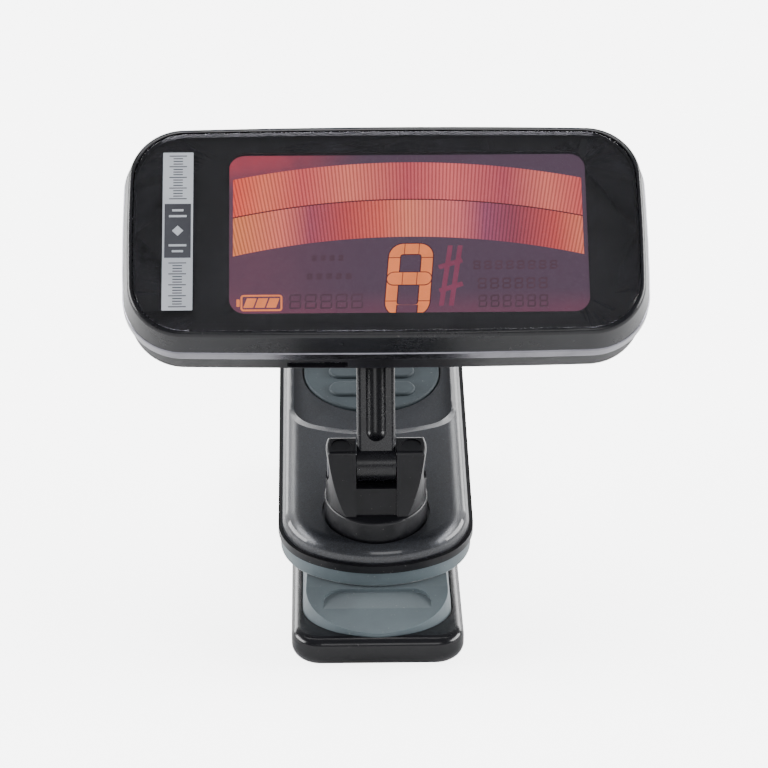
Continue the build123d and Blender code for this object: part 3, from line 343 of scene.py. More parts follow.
def metal(name, colour, tarnish, stretch, line, rough):
    """A bare or plated metal finish."""
    material, tree, shader = new_material(name)
    surface = use_group(
        tree, METAL, Colour=srgb(*colour), Tarnish=srgb(*tarnish), Stretch=stretch,
        Line_Size=line, Roughness_Low=rough[0], Roughness_High=rough[1],
    )
    tree.links.new(surface.outputs["Colour"], shader.inputs["Base Color"])
    tree.links.new(surface.outputs["Roughness"], shader.inputs["Roughness"])
    bump_to(tree, shader, surface.outputs["Height"], 0.15, 0.01)
    set_plain(shader, Metallic=1.0)
    return material


MATERIALS = {}
print("material makers ready")

# %% [markdown]
# The clamp and the head's shells are ABS moulded against a polished or lightly sparked mould. The jaw
# bar is the glossiest; the stem and the swivel have a satin spark finish that hides scratches.

# %% Moulded plastics
PLASTICS = {
    # colour, shade, grain in mm, roughness from and to, smears, dust, bump, specular level
    "jaw_gloss": ((14, 14, 17), (20, 20, 23), 0.30, (0.16, 0.30), 0.7, 0.12, 0.10, 0.3),
    "rim_plastic": ((14, 14, 17), (21, 21, 24), 0.22, (0.30, 0.46), 0.4, 0.15, 0.25, 0.3),
    "swivel_plastic": ((13, 13, 16), (19, 19, 22), 0.20, (0.26, 0.42), 0.4, 0.12, 0.22, 0.3),
    "stem_plastic": ((13, 13, 16), (19, 19, 23), 0.20, (0.24, 0.40), 0.4, 0.12, 0.22, 0.3),
    "shell_front": ((12, 12, 15), (18, 18, 22), 0.25, (0.22, 0.36), 0.6, 0.12, 0.12, 0.3),
    "shell_rear": ((14, 14, 17), (20, 20, 24), 0.22, (0.42, 0.56), 0.5, 0.12, 0.30, 0.1),
    "door_plastic": ((24, 24, 27), (32, 32, 36), 0.20, (0.34, 0.50), 0.5, 0.15, 0.32, 0.5),
    "tray_plastic": ((46, 46, 50), (60, 60, 64), 0.35, (0.40, 0.55), 0.2, 0.20, 0.25, 0.5),
    "mask_black": ((10, 10, 13), (15, 15, 19), 0.30, (0.45, 0.60), 0.2, 0.05, 0.10, 0.5),
    "chip_black": ((24, 24, 26), (36, 36, 38), 0.12, (0.45, 0.60), 0.2, 0.10, 0.25, 0.5),
    "diffuser_white": ((226, 222, 218), (206, 198, 196), 0.50, (0.35, 0.50), 0.2, 0.05, 0.25, 0.5),
}
for name, (*looks, level) in PLASTICS.items():
    MATERIALS[name] = moulded(name, *looks, Specular_IOR_Level=level)
print("plastics:", len(MATERIALS))

# %% [markdown]
# The pads are grey-green silicone rubber: matt, slightly mottled, with a sheen where the light grazes.
# The thumb pad is darker and has none. Sheen is a uniform value, so it is set on the shader itself.

# %% Rubbers
RUBBERS = {
    # colour, shade, grain in mm, roughness from and to, smears, dust, bump, its depth in mm, level, sheen
    "pad_rubber": ((66, 77, 82), (77, 89, 94), 0.16, (0.48, 0.66), 0.6, 0.25, 0.35, 0.03, 0.4, 0.25),
    "thumb_rubber": ((40, 47, 51), (49, 57, 61), 0.16, (0.58, 0.72), 0.6, 0.2, 0.35, 0.03, 0.25, 0.0),
    "button_rubber": ((52, 54, 58), (66, 68, 72), 0.16, (0.50, 0.66), 0.6, 0.2, 0.35, 0.03, 0.4, 0.25),
    "zebra_rubber": ((196, 150, 140), (150, 96, 92), 0.30, (0.5, 0.7), 0.2, 0.1, 0.25, 0.02, 0.5, 0.0),
}
for name, (*looks, level, sheen) in RUBBERS.items():
    MATERIALS[name] = moulded(name, *looks, Specular_IOR_Level=level, Sheen_Weight=sheen)
print("rubbers ready")

# %% [markdown]
# Screws, pins and contacts are metal. Turned parts carry rings round their axis, stamped parts long
# lines along the strip, so each gets its own stretch.

# %% Metals
METALS = {
    # colour, tarnish, stretch, line size in mm, roughness from and to
    "pin_steel": ((176, 178, 182), (112, 112, 114), (12, 1, 1), 0.35, (0.18, 0.34)),
    "spring_steel": ((150, 152, 158), (78, 76, 76), (8, 8, 8), 0.9, (0.18, 0.36)),
    "screw_steel": ((92, 93, 98), (46, 46, 50), (9, 9, 1), 0.40, (0.24, 0.42)),
    "trim_metal": ((124, 123, 130), (92, 91, 98), (0.6, 10, 10), 0.45, (0.18, 0.30)),
    "cell_nickel": ((196, 197, 200), (150, 148, 146), (1, 9, 9), 0.45, (0.16, 0.34)),
    "contact_plate": ((206, 188, 128), (150, 126, 84), (1, 8, 8), 0.35, (0.2, 0.36)),
    "piezo_brass": ((204, 174, 104), (140, 112, 66), (3, 3, 3), 0.45, (0.24, 0.44)),
    "port_steel": ((170, 172, 176), (110, 110, 112), (1, 1, 9), 0.35, (0.2, 0.38)),
    "switch_metal": ((186, 188, 192), (126, 126, 128), (9, 1, 1), 0.35, (0.2, 0.4)),
}
for name, looks in METALS.items():
    MATERIALS[name] = metal(name, *looks)
print("metals ready")

# %% [markdown]
# The lens is one moulded acrylic window. It stays real glass to the renderer: plain transmission, an
# index of refraction, and a roughness that rises a little where fingers have smeared it.

# %% Lens glass
material, tree, shader = new_material("lens_clear")
surface = use_group(
    tree, MOULDED, Grain_Size=0.9, Roughness_Low=0.015, Roughness_High=0.06, Smears=1.0, Dust=0.0
)
tree.links.new(surface.outputs["Roughness"], shader.inputs["Roughness"])
bump_to(tree, shader, surface.outputs["Height"], 0.03, 0.004)
set_plain(shader, Base_Color=srgb(214, 212, 222), Transmission_Weight=1.0, IOR=1.49)
MATERIALS["lens_clear"] = material
print("lens glass ready")

# %% [markdown]
# The circuit board is green solder mask over copper. Tracks are drawn as a fine grid of bricks seen in
# the head's own axes, so that they run along the board.

# %% Board and display glass


def head_point(tree):
    """Object coordinates turned into the head's own axes, in millimetres."""
    place = HEAD_FRAME.inverted()
    turned = add_node(
        tree, "ShaderNodeMapping", Vector=object_point(tree),
        Location=place.translation / MM, Rotation=place.to_euler(), Scale=(1 / MM,) * 3,
    )
    return add_node(tree, "ShaderNodeSeparateXYZ", Vector=turned.outputs[0]).outputs


material, tree, shader = new_material("board_green")
across, _, up = head_point(tree)
flat_point = add_node(tree, "ShaderNodeCombineXYZ", X=across, Y=up).outputs[0]
tracks = add_node(tree, "ShaderNodeTexBrick", Vector=flat_point, Scale=0.8, Mortar_Size=0.05)
surface = use_group(
    tree, MOULDED, Colour=srgb(22, 84, 52), Shade=srgb(30, 100, 62), Grain_Size=0.3,
    Roughness_Low=0.3, Roughness_High=0.45,
)
mask = mix_colour(tree, tracks.outputs["Fac"], surface.outputs["Colour"], srgb(70, 130, 70))
tree.links.new(mask, shader.inputs["Base Color"])
tree.links.new(surface.outputs["Roughness"], shader.inputs["Roughness"])
bump_to(tree, shader, tracks.outputs["Fac"], 0.3, 0.03)
MATERIALS["board_green"] = material
MATERIALS["lcd_glass"] = moulded("lcd_glass", (58, 50, 62), (66, 54, 66), 0.5, (0.12, 0.2), 0.3, 0.0, 0.05)
print("board and display glass ready")

# %% [markdown]
# The arm's cover is sprayed in graphite lacquer: black-grey with tiny metal flakes, each lying at its own
# tilt. Cells of a fine Voronoi pattern stand for the flakes and give each one its own shade and gloss,
# and a clear coat lies over all. The cover is crowned: past its flat middle the shading rolls off towards
# both sides, ever steeper, as if the surface fell away with the square of the distance.

# %% Graphite lacquer
FLAKE_MM = 0.08
CROWN_FLAT = 6.5  # half width of the flat middle, in mm
CROWN_BEND = 0.055  # fall in mm, a millimetre past the flat middle
material, tree, shader = new_material("cover_graphite")
point = object_point(tree)
cells = add_node(tree, "ShaderNodeTexVoronoi", Vector=point, Scale=1 / (FLAKE_MM * MM)).outputs["Color"]
flake = add_node(tree, "ShaderNodeSeparateColor", i0=cells).outputs
surface = use_group(
    tree, MOULDED, Colour=srgb(20, 21, 25), Shade=srgb(27, 29, 34), Grain_Size=0.3,
    Roughness_Low=0.26, Roughness_High=0.38, Smears=0.5, Dust=0.1,
)
bright = math_node(tree, "MULTIPLY", ramp(tree, flake[0], 0.55, 1.0), 0.4)
lacquer = mix_colour(tree, bright, surface.outputs["Colour"], srgb(70, 74, 82))
tree.links.new(lacquer, shader.inputs["Base Color"])
gloss = math_node(tree, "MULTIPLY_ADD", flake[1], 0.14, surface.outputs["Roughness"])
tree.links.new(gloss, shader.inputs["Roughness"])
tree.links.new(math_node(tree, "MULTIPLY_ADD", flake[0], 0.4, 0.2), shader.inputs["Metallic"])
across = math_node(tree, "ABSOLUTE", add_node(tree, "ShaderNodeSeparateXYZ", Vector=point).outputs[0])
past_flat = math_node(tree, "MAXIMUM", math_node(tree, "SUBTRACT", across, CROWN_FLAT * MM), 0.0)
squared = math_node(tree, "MULTIPLY", past_flat, past_flat)
fall = math_node(tree, "MULTIPLY", squared, -CROWN_BEND / MM)
crown = add_node(tree, "ShaderNodeBump", Height=fall, Strength=1.0, Distance=1.0)
flakes = add_node(tree, "ShaderNodeBump", Height=flake[2], Strength=0.06, Distance=0.01 * MM)
tree.links.new(crown.outputs[0], flakes.inputs["Normal"])
tree.links.new(flakes.outputs[0], shader.inputs["Normal"])
set_plain(shader, Coat_Weight=0.5, Coat_Roughness=0.08)
MATERIALS["cover_graphite"] = material
print("graphite lacquer with flakes of", FLAKE_MM, "mm")

# %% [markdown]
# Every CAD node now gets its finish. The record says which nodes belong to which material slot.

# %% Finishes on the CAD nodes
for part in frame["record"]["subparts"]:
    mesh = nodes[part["node"]].data
    mesh.materials.clear()
    mesh.materials.append(MATERIALS[part["material_slot"]])

# %% [markdown]
# New pieces are drawn flat in millimetres, x to the right and y up, then given a thickness and laid on
# the head: facing the front for what the screen shows, or facing the back for the symbols on the keys.

# %% Helpers for flat pieces
TO_MM = Matrix.Scale(MM, 4)


def face_place(right, back):
    """Where a flat piece lies on the lens's face plane, with its x to the right and its back outwards."""
    return Matrix.Translation(HEAD_ORIGIN) @ Matrix((right, HEAD_UP, back)).transposed().to_4x4() @ TO_MM


FRONT = face_place(HEAD_RIGHT, -HEAD_BACK)
REAR = face_place(-HEAD_RIGHT, HEAD_BACK)


CORNER_SEGMENTS = 6


def sheared(lean):
    """A shear along x that grows with y."""
    return Matrix(((1, lean, 0, 0), (0, 1, 0, 0), (0, 0, 1, 0), (0, 0, 0, 1)))


def add_plate(bm, width, height, x=0.0, y=0.0, corner=0.0, lean=0.0, turn=0.0):
    """Adds a flat plate at (x, y), sheared by lean and then turned, and returns its face."""
    part = bmesh.new()
    made = bmesh.ops.create_grid(part, x_segments=1, y_segments=1, size=0.5)["verts"]
    bmesh.ops.scale(part, vec=(width, height, 1), verts=made)
    if corner:
        bmesh.ops.bevel(
            part, geom=made, offset=corner, segments=CORNER_SEGMENTS, profile=0.5, affect="VERTICES",
            material=-1,
        )
    part.transform(Matrix.Translation((x, y, 0)) @ Matrix.Rotation(turn, 4, "Z") @ sheared(lean))
    mesh = bpy.data.meshes.new("part")
    part.to_mesh(mesh)
    part.free()
    before = len(bm.faces)
    bm.from_mesh(mesh)
    bpy.data.meshes.remove(mesh)
    bm.faces.ensure_lookup_table()
    return bm.faces[before]


def hollow(bm, face, width):
    """Turns a flat face into a ring, width wide all round."""
    bmesh.ops.inset_region(bm, faces=[face], thickness=width, use_even_offset=True, use_boundary=True)
    bmesh.ops.delete(bm, geom=[face], context="FACES_ONLY")


def cut(bm, point, normal, clear=False):
    """Cuts all of bm along a plane, and clears what is on the plane's outer side if asked."""
    everything = bm.verts[:] + bm.edges[:] + bm.faces[:]
    bmesh.ops.bisect_plane(bm, geom=everything, plane_co=point, plane_no=normal, clear_outer=clear)


def thicken(bm, thickness):
    """Gives every flat face of bm a thickness upwards, closed all round."""
    made = bmesh.ops.extrude_face_region(bm, geom=bm.faces[:])["geom"]
    top = [item for item in made if isinstance(item, bmesh.types.BMVert)]
    bmesh.ops.translate(bm, vec=(0, 0, thickness), verts=top)


def lay_piece(bm, name, material, body, place, smooth=False):
    """Puts a finished bmesh, in millimetres, in place as a piece that rides on body."""
    bm.transform(place)
    bmesh.ops.recalc_face_normals(bm, faces=bm.faces)
    open_edges = sum(1 for edge in bm.edges if len(edge.link_faces) != 2)
    mesh = bpy.data.meshes.new(name)
    bm.to_mesh(mesh)
    bm.free()
    for polygon in mesh.polygons:
        polygon.use_smooth = smooth
    mesh.materials.append(material)
    piece = bpy.data.objects.new(name, mesh)
    scene.collection.objects.link(piece)
    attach(piece, body)
    print(name, "has", len(mesh.polygons), "faces and", open_edges, "open edges")
    return piece


# %% [markdown]
# The window of the display is a rounded rectangle. Its upper half holds the strobe: two rows of bars
# between three arcs, whose common centre is far below the window. All sizes are in millimetres.

# %% Window and strobe sizes
WINDOW_W = 44.8
WINDOW_H = 22.0
WINDOW_R = 2.0
STROBE_W = 43.9
ARC_R = 106.0
ARC_TOP = WINDOW_H / 2 - 0.95
ROW_H = 5.15
LINE_T = 0.16
BAR_PITCH = 0.44
BAR_SHARE = 0.56
ARC_CENTRE = ARC_TOP - ARC_R
MIDDLE_R = ARC_R - ROW_H

print("window", WINDOW_W, "by", WINDOW_H, "mm")

# %% [markdown]
# What the display shows is lit from behind, so these finishes give out light. The strobe's two rows of
# bars change colour along their length, as the backlight mixes red, orange and violet lamps: a colour
# ramp across the window for each row, shared as one group by the bars and the darker gaps between them.

# %% Shared group: backlight colour
LAMP = (1.05, 0.65, 0.60)  # how much of red, green and blue the lamp gives


def lamp_colour(red, green, blue):
    """A display colour as the warm backlight gives it."""
    return tuple(c * gain for c, gain in zip(srgb(red, green, blue), LAMP)) + (1.0,)


UPPER_ROW = [
    # share of the row's width, colour there
    (0.00, (226, 104, 84)), (0.09, (229, 140, 108)), (0.20, (206, 108, 108)), (0.33, (224, 142, 122)),
    (0.50, (188, 100, 108)), (0.62, (216, 126, 124)), (0.78, (176, 96, 110)), (0.90, (218, 136, 120)),
    (1.0, (204, 110, 106)),
]
LOWER_ROW = [
    (0.00, (226, 156, 96)), (0.14, (222, 138, 120)), (0.22, (160, 92, 112)), (0.32, (184, 92, 92)),
    (0.42, (212, 116, 100)), (0.50, (226, 150, 122)), (0.64, (212, 130, 130)), (0.72, (146, 92, 122)),
    (0.80, (140, 80, 100)), (0.92, (190, 96, 92)), (1.0, (220, 142, 112)),
]
tree, given, out = new_group("backlight_colour", [("Brightness", VALUE, 1.0)], [("Colour", COLOUR)])
across, _, up = head_point(tree)
along = math_node(tree, "MULTIPLY_ADD", math_node(tree, "SUBTRACT", across, SCREEN_U), 1 / STROBE_W, 0.5)
reach = add_node(
    tree, "ShaderNodeCombineXYZ", X=math_node(tree, "SUBTRACT", across, SCREEN_U),
    Y=math_node(tree, "SUBTRACT", up, ARC_CENTRE),
).outputs[0]
radius = add_node(tree, "ShaderNodeVectorMath", {"operation": "LENGTH"}, i0=reach).outputs["Value"]
rows = []
for stops in (LOWER_ROW, UPPER_ROW):
    node = add_node(tree, "ShaderNodeValToRGB", i0=along)
    elements = node.color_ramp.elements
    for place, _ in stops[1:-1]:
        elements.new(place)
    for element, (_, colour) in zip(elements, stops):
        element.color = lamp_colour(*colour)
    rows.append(node.outputs[0])
is_upper = math_node(tree, "GREATER_THAN", radius, MIDDLE_R)
glow = mix_colour(tree, is_upper, rows[0], rows[1])
mottle = math_node(tree, "MULTIPLY_ADD", noise(tree, object_point(tree), 1.6), 0.14, 0.93)
level = math_node(tree, "MULTIPLY", mottle, given["Brightness"])
dimmed = add_node(tree, "ShaderNodeVectorMath", {"operation": "SCALE"}, i0=glow, Scale=level)
tree.links.new(dimmed.outputs[0], out["Colour"])
BACKLIGHT = tree
print("backlight ramps:", len(UPPER_ROW), "and", len(LOWER_ROW), "stops")

# %% [markdown]
# The bars and the gaps between them take the strobe's own colours, the gaps dimmer. Every other lit or
# unlit mark has one colour of its own, which drifts a little from place to place as a backlight does.

# %% Lit finishes
GLOW = 2.0


def lit(name, brightness=1.0, colour=None):
    """A finish that gives out light: the strobe's own colours, or one colour with a slow mottle."""
    material, tree, shader = new_material(name)
    if colour:
        cloud = ramp(tree, noise(tree, object_point(tree), 3.0, 2.0), 0.3, 0.7)
        full = lamp_colour(*colour)
        darker = tuple(c * 0.86 for c in full[:3]) + (1,)
        light = mix_colour(tree, cloud, darker, full)
    else:
        light = use_group(tree, BACKLIGHT, Brightness=brightness).outputs["Colour"]
    grain = noise(tree, object_point(tree), 0.2)
    tree.links.new(ramp(tree, grain, 0.3, 0.7, 0.35, 0.5), shader.inputs["Roughness"])
    tree.links.new(light, shader.inputs["Emission Color"])
    tree.links.new(mix_colour(tree, 0.9, light, (0, 0, 0, 1)), shader.inputs["Base Color"])
    set_plain(shader, Emission_Strength=GLOW, Specular_IOR_Level=0.1)
    return material


LIT_BAR = lit("lit_bar", 1.0)
LIT_GAP = lit("lit_gap", 0.6)
LIT_GLYPH = lit("lit_glyph", colour=(238, 160, 92))
LIT_CELL = lit("lit_cell", colour=(238, 164, 96))
LIT_LINE = lit("lit_line", colour=(70, 34, 46))
LIT_SHARP = lit("lit_sharp", colour=(120, 72, 100))
UNLIT_SEGMENT = lit("unlit_segment", colour=(74, 64, 80))
print("lit finishes ready")

# %% [markdown]
# The ground of the picture is a violet field, redder towards its left, its top left corner and its lower
# edge, where the lamps sit. It is one plate that just fills the window.

# %% Picture ground
material, tree, shader = new_material("picture_ground")
across, _, up = head_point(tree)
from_left = ramp(tree, math_node(tree, "SUBTRACT", across, SCREEN_U), -WINDOW_W / 2, -4.0, 1.0, 0.0)
from_top = ramp(tree, up, 5.5, WINDOW_H / 2, 0.0, 1.0)
from_bottom = ramp(tree, up, -WINDOW_H / 2, -7.0, 1.0, 0.0)
corner = math_node(tree, "MULTIPLY", from_left, from_top)
mottle = noise(tree, object_point(tree), 2.2, 4.0)
field = lamp_colour(74, 73, 91)
for mask, share, colour in (
    (from_left, 0.6, (100, 76, 96)), (from_bottom, 0.35, (124, 74, 100)), (corner, 1.0, (158, 78, 92)),
    (ramp(tree, mottle, 0.35, 0.7), 0.25, (72, 64, 84)),
):
    field = mix_colour(tree, math_node(tree, "MULTIPLY", mask, share), field, lamp_colour(*colour))
tree.links.new(field, shader.inputs["Emission Color"])
tree.links.new(mix_colour(tree, 0.9, field, (0, 0, 0, 1)), shader.inputs["Base Color"])
tree.links.new(ramp(tree, mottle, 0.3, 0.7, 0.25, 0.4), shader.inputs["Roughness"])
set_plain(shader, Emission_Strength=GLOW, Specular_IOR_Level=0.1)

LAYER = 0.02
GROUND_Z = -SCREEN_DEPTH + 0.01


def show(bm, name, finish, layers, x=SCREEN_U, y=0.0, lean=0.0):
    """Makes flat faces into a piece of the display, so many layers above the picture's ground."""
    thicken(bm, LAYER)
    place = FRONT @ Matrix.Translation((x, y, GROUND_Z + layers * LAYER)) @ sheared(lean)
    lay_piece(bm, name, finish, "head", place)


bm = bmesh.new()
add_plate(bm, WINDOW_W + 0.2, WINDOW_H + 0.2, corner=WINDOW_R)
show(bm, "picture_ground", material, 0)

# %% [markdown]
# The strobe is two curved rows of narrow bars. One bar is drawn standing on the arc's radius and spun
# about the arc's centre as separate copies. A plane at each end then cuts the row off square, as the
# mask of the display does. The darker gaps are a closed row of their own, one layer below the bars.

# %% Strobe rows
GAP_PIECES = 60
PAST_END = 0.01  # how far a row runs past each end before it is cut, in radians


def arc_row(inner, outer, pieces, share):
    """A row between two radii: pieces copies, each filling a share of its pitch."""
    bm = bmesh.new()
    half_angle = asin(STROBE_W / 2 / inner) + PAST_END
    step = 2 * half_angle / pieces
    made = bmesh.ops.create_grid(bm, x_segments=1, y_segments=1, size=0.5)["verts"]
    for vert in made:
        edge_r = outer if vert.co.y > 0 else inner
        angle = half_angle - step / 2 - vert.co.x * step * share
        vert.co = (-edge_r * sin(angle), ARC_CENTRE + edge_r * cos(angle), 0)
    bmesh.ops.spin(
        bm, geom=made[0].link_faces[:], cent=(0, ARC_CENTRE, 0), axis=(0, 0, 1),
        angle=-step * (pieces - 1), steps=pieces - 1, use_duplicate=True,
    )
    for side in (-1, 1):
        cut(bm, (side * STROBE_W / 2, 0, 0), (side, 0, 0), clear=True)
    bmesh.ops.remove_doubles(bm, verts=bm.verts, dist=0.001)
    return bm


BARS = round(2 * asin(STROBE_W / 2 / (MIDDLE_R - ROW_H)) * MIDDLE_R / BAR_PITCH)
ROWS = {"upper": (MIDDLE_R + LINE_T / 2, ARC_R), "lower": (ARC_R - 2 * ROW_H, MIDDLE_R - LINE_T / 2)}
for row, (inner, outer) in ROWS.items():
    show(arc_row(inner, outer, GAP_PIECES, 1.0), f"strobe_gaps_{row}", LIT_GAP, 1)
    show(arc_row(inner, outer, BARS, BAR_SHARE), f"strobe_bars_{row}", LIT_BAR, 2)
show(arc_row(MIDDLE_R - LINE_T / 2, MIDDLE_R + LINE_T / 2, GAP_PIECES, 1.0), "strobe_divider", LIT_LINE, 1)
print("strobe:", BARS, "bars a row")

# %% [markdown]
# The note is a big segmented letter A. Its frame is a rounded rectangle inset to a ring, with the foot bar
# cut out, and the crossbar is a capsule of its own with a dark line round it. Thin dark strips show
# where one segment ends and the next begins.

# %% Note letter
LETTER_W = 5.5
LETTER_H = 9.7
LETTER_X = 0.05 + LETTER_W / 2
LETTER_STROKE = 1.4
LETTER_CORNER = 1.75
LETTER_LEAN = 0.09
CROSSBAR_H = 1.65
CROSSBAR_Y = 0.1
LETTER_Y = -WINDOW_H / 2 + LETTER_H / 2 + 0.05
SPLIT_T = 0.09
OUTLINE = 0.14  # how far the dark outline shows round the letter
CROSSBAR_OUTLINE = 0.12
LETTER_PLACE = {"x": LETTER_X, "y": LETTER_Y, "lean": LETTER_LEAN}


def letter_frame(grow):
    """The ring of the letter, open at its foot, larger all round by grow."""
    bm = bmesh.new()
    face = add_plate(bm, LETTER_W + 2 * grow, LETTER_H + 2 * grow, corner=LETTER_CORNER + grow)
    hollow(bm, face, LETTER_STROKE + 2 * grow)
    inner_x = LETTER_W / 2 - LETTER_STROKE - grow
    foot_y = -LETTER_H / 2 + LETTER_STROKE + grow
    cut(bm, (inner_x, 0, 0), (1, 0, 0))
    cut(bm, (-inner_x, 0, 0), (1, 0, 0))
    cut(bm, (0, foot_y, 0), (0, 1, 0))
    middles = {face: face.calc_center_median() for face in bm.faces}
    foot = [face for face, middle in middles.items() if abs(middle.x) < inner_x and middle.y < foot_y]
    bmesh.ops.delete(bm, geom=foot, context="FACES")
    return bm


def crossbar(grow):
    """The capsule across the letter, larger all round by grow."""
    bm = bmesh.new()
    radius = CROSSBAR_H / 2 + grow - 0.01
    add_plate(bm, LETTER_W + 2 * grow, CROSSBAR_H + 2 * grow, 0, CROSSBAR_Y, radius)
    return bm


show(letter_frame(OUTLINE), "note_outline", LIT_LINE, 1, **LETTER_PLACE)
show(letter_frame(0.0), "note_letter", LIT_GLYPH, 2, **LETTER_PLACE)
show(crossbar(CROSSBAR_OUTLINE), "note_crossbar_outline", LIT_LINE, 3, **LETTER_PLACE)
show(crossbar(0.0), "note_crossbar", LIT_GLYPH, 4, **LETTER_PLACE)
bm = bmesh.new()
for x in (-0.85, 0.95):
    add_plate(bm, SPLIT_T, LETTER_STROKE, x, LETTER_H / 2 - LETTER_STROKE / 2)
    add_plate(bm, SPLIT_T, CROSSBAR_H, x, CROSSBAR_Y)
for y in (2.95, -2.95):
    for side in (-1, 1):
        add_plate(bm, LETTER_STROKE, SPLIT_T, side * (LETTER_W - LETTER_STROKE) / 2, y)
show(bm, "note_segment_splits", LIT_LINE, 5, **LETTER_PLACE)

# %% [markdown]
# Beside the letter stands a dim sharp sign: two leaning strokes crossed by two that rise to the right. In
# the lower left corner a battery symbol shows a nub, an outline and three slanted cells.

# %% Sharp sign and battery symbol
SHARP_X = 8.0
SHARP_Y = -5.6
SHARP_STROKE = 0.62
bm = bmesh.new()
for side in (-1, 1):
    add_plate(bm, SHARP_STROKE, 8.2, side * 0.62, 0, 0.1, lean=0.16)
    add_plate(bm, 3.1, SHARP_STROKE, 0, side * 1.6, 0.1, turn=0.32)
show(bm, "sharp_sign", LIT_SHARP, 1, x=SHARP_X, y=SHARP_Y)

BATTERY_W = 5.2
BATTERY_H = 2.2
BATTERY_LINE = 0.24
BATTERY_X = -15.6
BATTERY_Y = -WINDOW_H / 2 + 0.75 + BATTERY_H / 2
bm = bmesh.new()
case = add_plate(bm, BATTERY_W, BATTERY_H, corner=0.4)
hollow(bm, case, BATTERY_LINE)
add_plate(bm, 0.42, 1.0, -BATTERY_W / 2 - 0.3, 0, 0.12)
for x in (-1.42, 0, 1.42):
    add_plate(bm, 1.22, BATTERY_H - 2 * BATTERY_LINE - 0.44, x, 0, 0.08, lean=0.35)
show(bm, "battery_symbol", LIT_CELL, 1, x=BATTERY_X, y=BATTERY_Y)

# %% [markdown]
# A liquid crystal display always shows its unlit segments faintly. Here they are rows of figure-eight
# digits that are off, in the lower corners of the window.

# %% Unlit segments
DIGIT_GAP = 0.42


def eight(bm, x, y, width, height, bar=0.22):
    """The seven bars of an unlit figure, about (x, y)."""
    for level in (-1, 0, 1):
        add_plate(bm, width - bar, bar, x + level * 0.05 * height, y + level * (height - bar) / 2, 0.06)
    for side in (-1, 1):
        for level in (-1, 1):
            side_x = x + side * (width - bar) / 2
            add_plate(bm, bar, height / 2 - bar, side_x, y + level * height / 4, 0.06, lean=0.1)


bm = bmesh.new()
for row_y, first_x, digits, width, height in (
    (-4.2, 11.3, 8, 0.95, 1.2), (-6.7, 11.9, 6, 1.1, 1.5), (-9.1, 11.9, 6, 1.1, 1.7),
    (-9.0, -11.4, 5, 1.5, 2.0), (-5.6, -9.6, 5, 0.8, 0.8), (-3.1, -9.0, 4, 0.7, 0.8),
):
    for n in range(digits):
        eight(bm, first_x + n * (width + DIGIT_GAP), row_y, width, height)
show(bm, "unlit_segments", UNLIT_SEGMENT, 1, x=0.0)

# %% [markdown]
# Left of the window the lens carries a strip of silver foil. Here it shows only a plain cent scale: a
# ladder of ticks with a dark block at its middle and a centre mark.

# %% Foil strip
FOIL_W = 3.8
FOIL_H = 21.6
FOIL_X = -26.0
FOIL_T = 0.03
BLOCK_H = 7.4
TICKS = 17  # on each side of the block, every fourth one long
TICK_T = 0.13
TICK_PITCH = 0.37
FOIL = moulded(
    "silver_foil", (176, 180, 186), (166, 170, 177), 0.12, (0.35, 0.5), 0.4, 0.05, 0.15, Metallic=0.25
)
INK = moulded("dark_ink", (38, 39, 46), (48, 49, 56), 0.15, (0.4, 0.55), 0.3, 0.1)
INK_T = 0.01


def on_foil(bm, name, finish, thickness, height):
    """Makes flat faces into a piece of the foil label, height above the lens's face."""
    thicken(bm, thickness)
    lay_piece(bm, name, finish, "head", FRONT @ Matrix.Translation((FOIL_X, 0, height)))


bm = bmesh.new()
add_plate(bm, FOIL_W, FOIL_H, corner=0.08)
on_foil(bm, "foil_strip", FOIL, FOIL_T, 0)
bm = bmesh.new()
add_plate(bm, FOIL_W - 0.5, BLOCK_H)
for n in range(TICKS):
    tick_w = 2.2 if n % 4 == 0 else 1.2
    for side in (-1, 1):
        add_plate(bm, tick_w, TICK_T, 0, side * (BLOCK_H / 2 + 0.7 + n * TICK_PITCH))
on_foil(bm, "foil_scale_ink", INK, INK_T, FOIL_T)
bm = bmesh.new()
add_plate(bm, 1.0, 1.0, 0, 0, turn=pi / 4)
for side in (-1, 1):
    add_plate(bm, 2.2, 0.28, 0, side * 2.0)
    add_plate(bm, 1.4, 0.28, 0, side * 2.8)
on_foil(bm, "foil_centre_mark", FOIL, INK_T, FOIL_T + INK_T)

# %% [markdown]
# The three keys at the back carry printed symbols, so that a hand can be guided by eye: a power ring,
# three menu lines, and a diamond between two dots for the presets. Each print rides on its own key.

# %% Key symbols
PRINT = moulded("key_print", (196, 198, 202), (170, 172, 178), 0.15, (0.45, 0.6), 0.4, 0.1)
PRINT_T = 0.02
SYMBOL_W = 2.0
SYMBOL_LINE = 0.24
RING_GAP = 0.3  # half width of the power ring's gap


def on_key(name):
    """The place on top of a key, facing the back."""
    low, high = box_in_head(name, HEAD_ORIGIN)
    return REAR @ Matrix.Translation((-(low.x + high.x) / 2, (low.z + high.z) / 2, high.y))


def print_mark(bm, name, body, place):
    """Makes flat faces into a printed mark."""
    thicken(bm, PRINT_T)
    lay_piece(bm, name, PRINT, body, place)


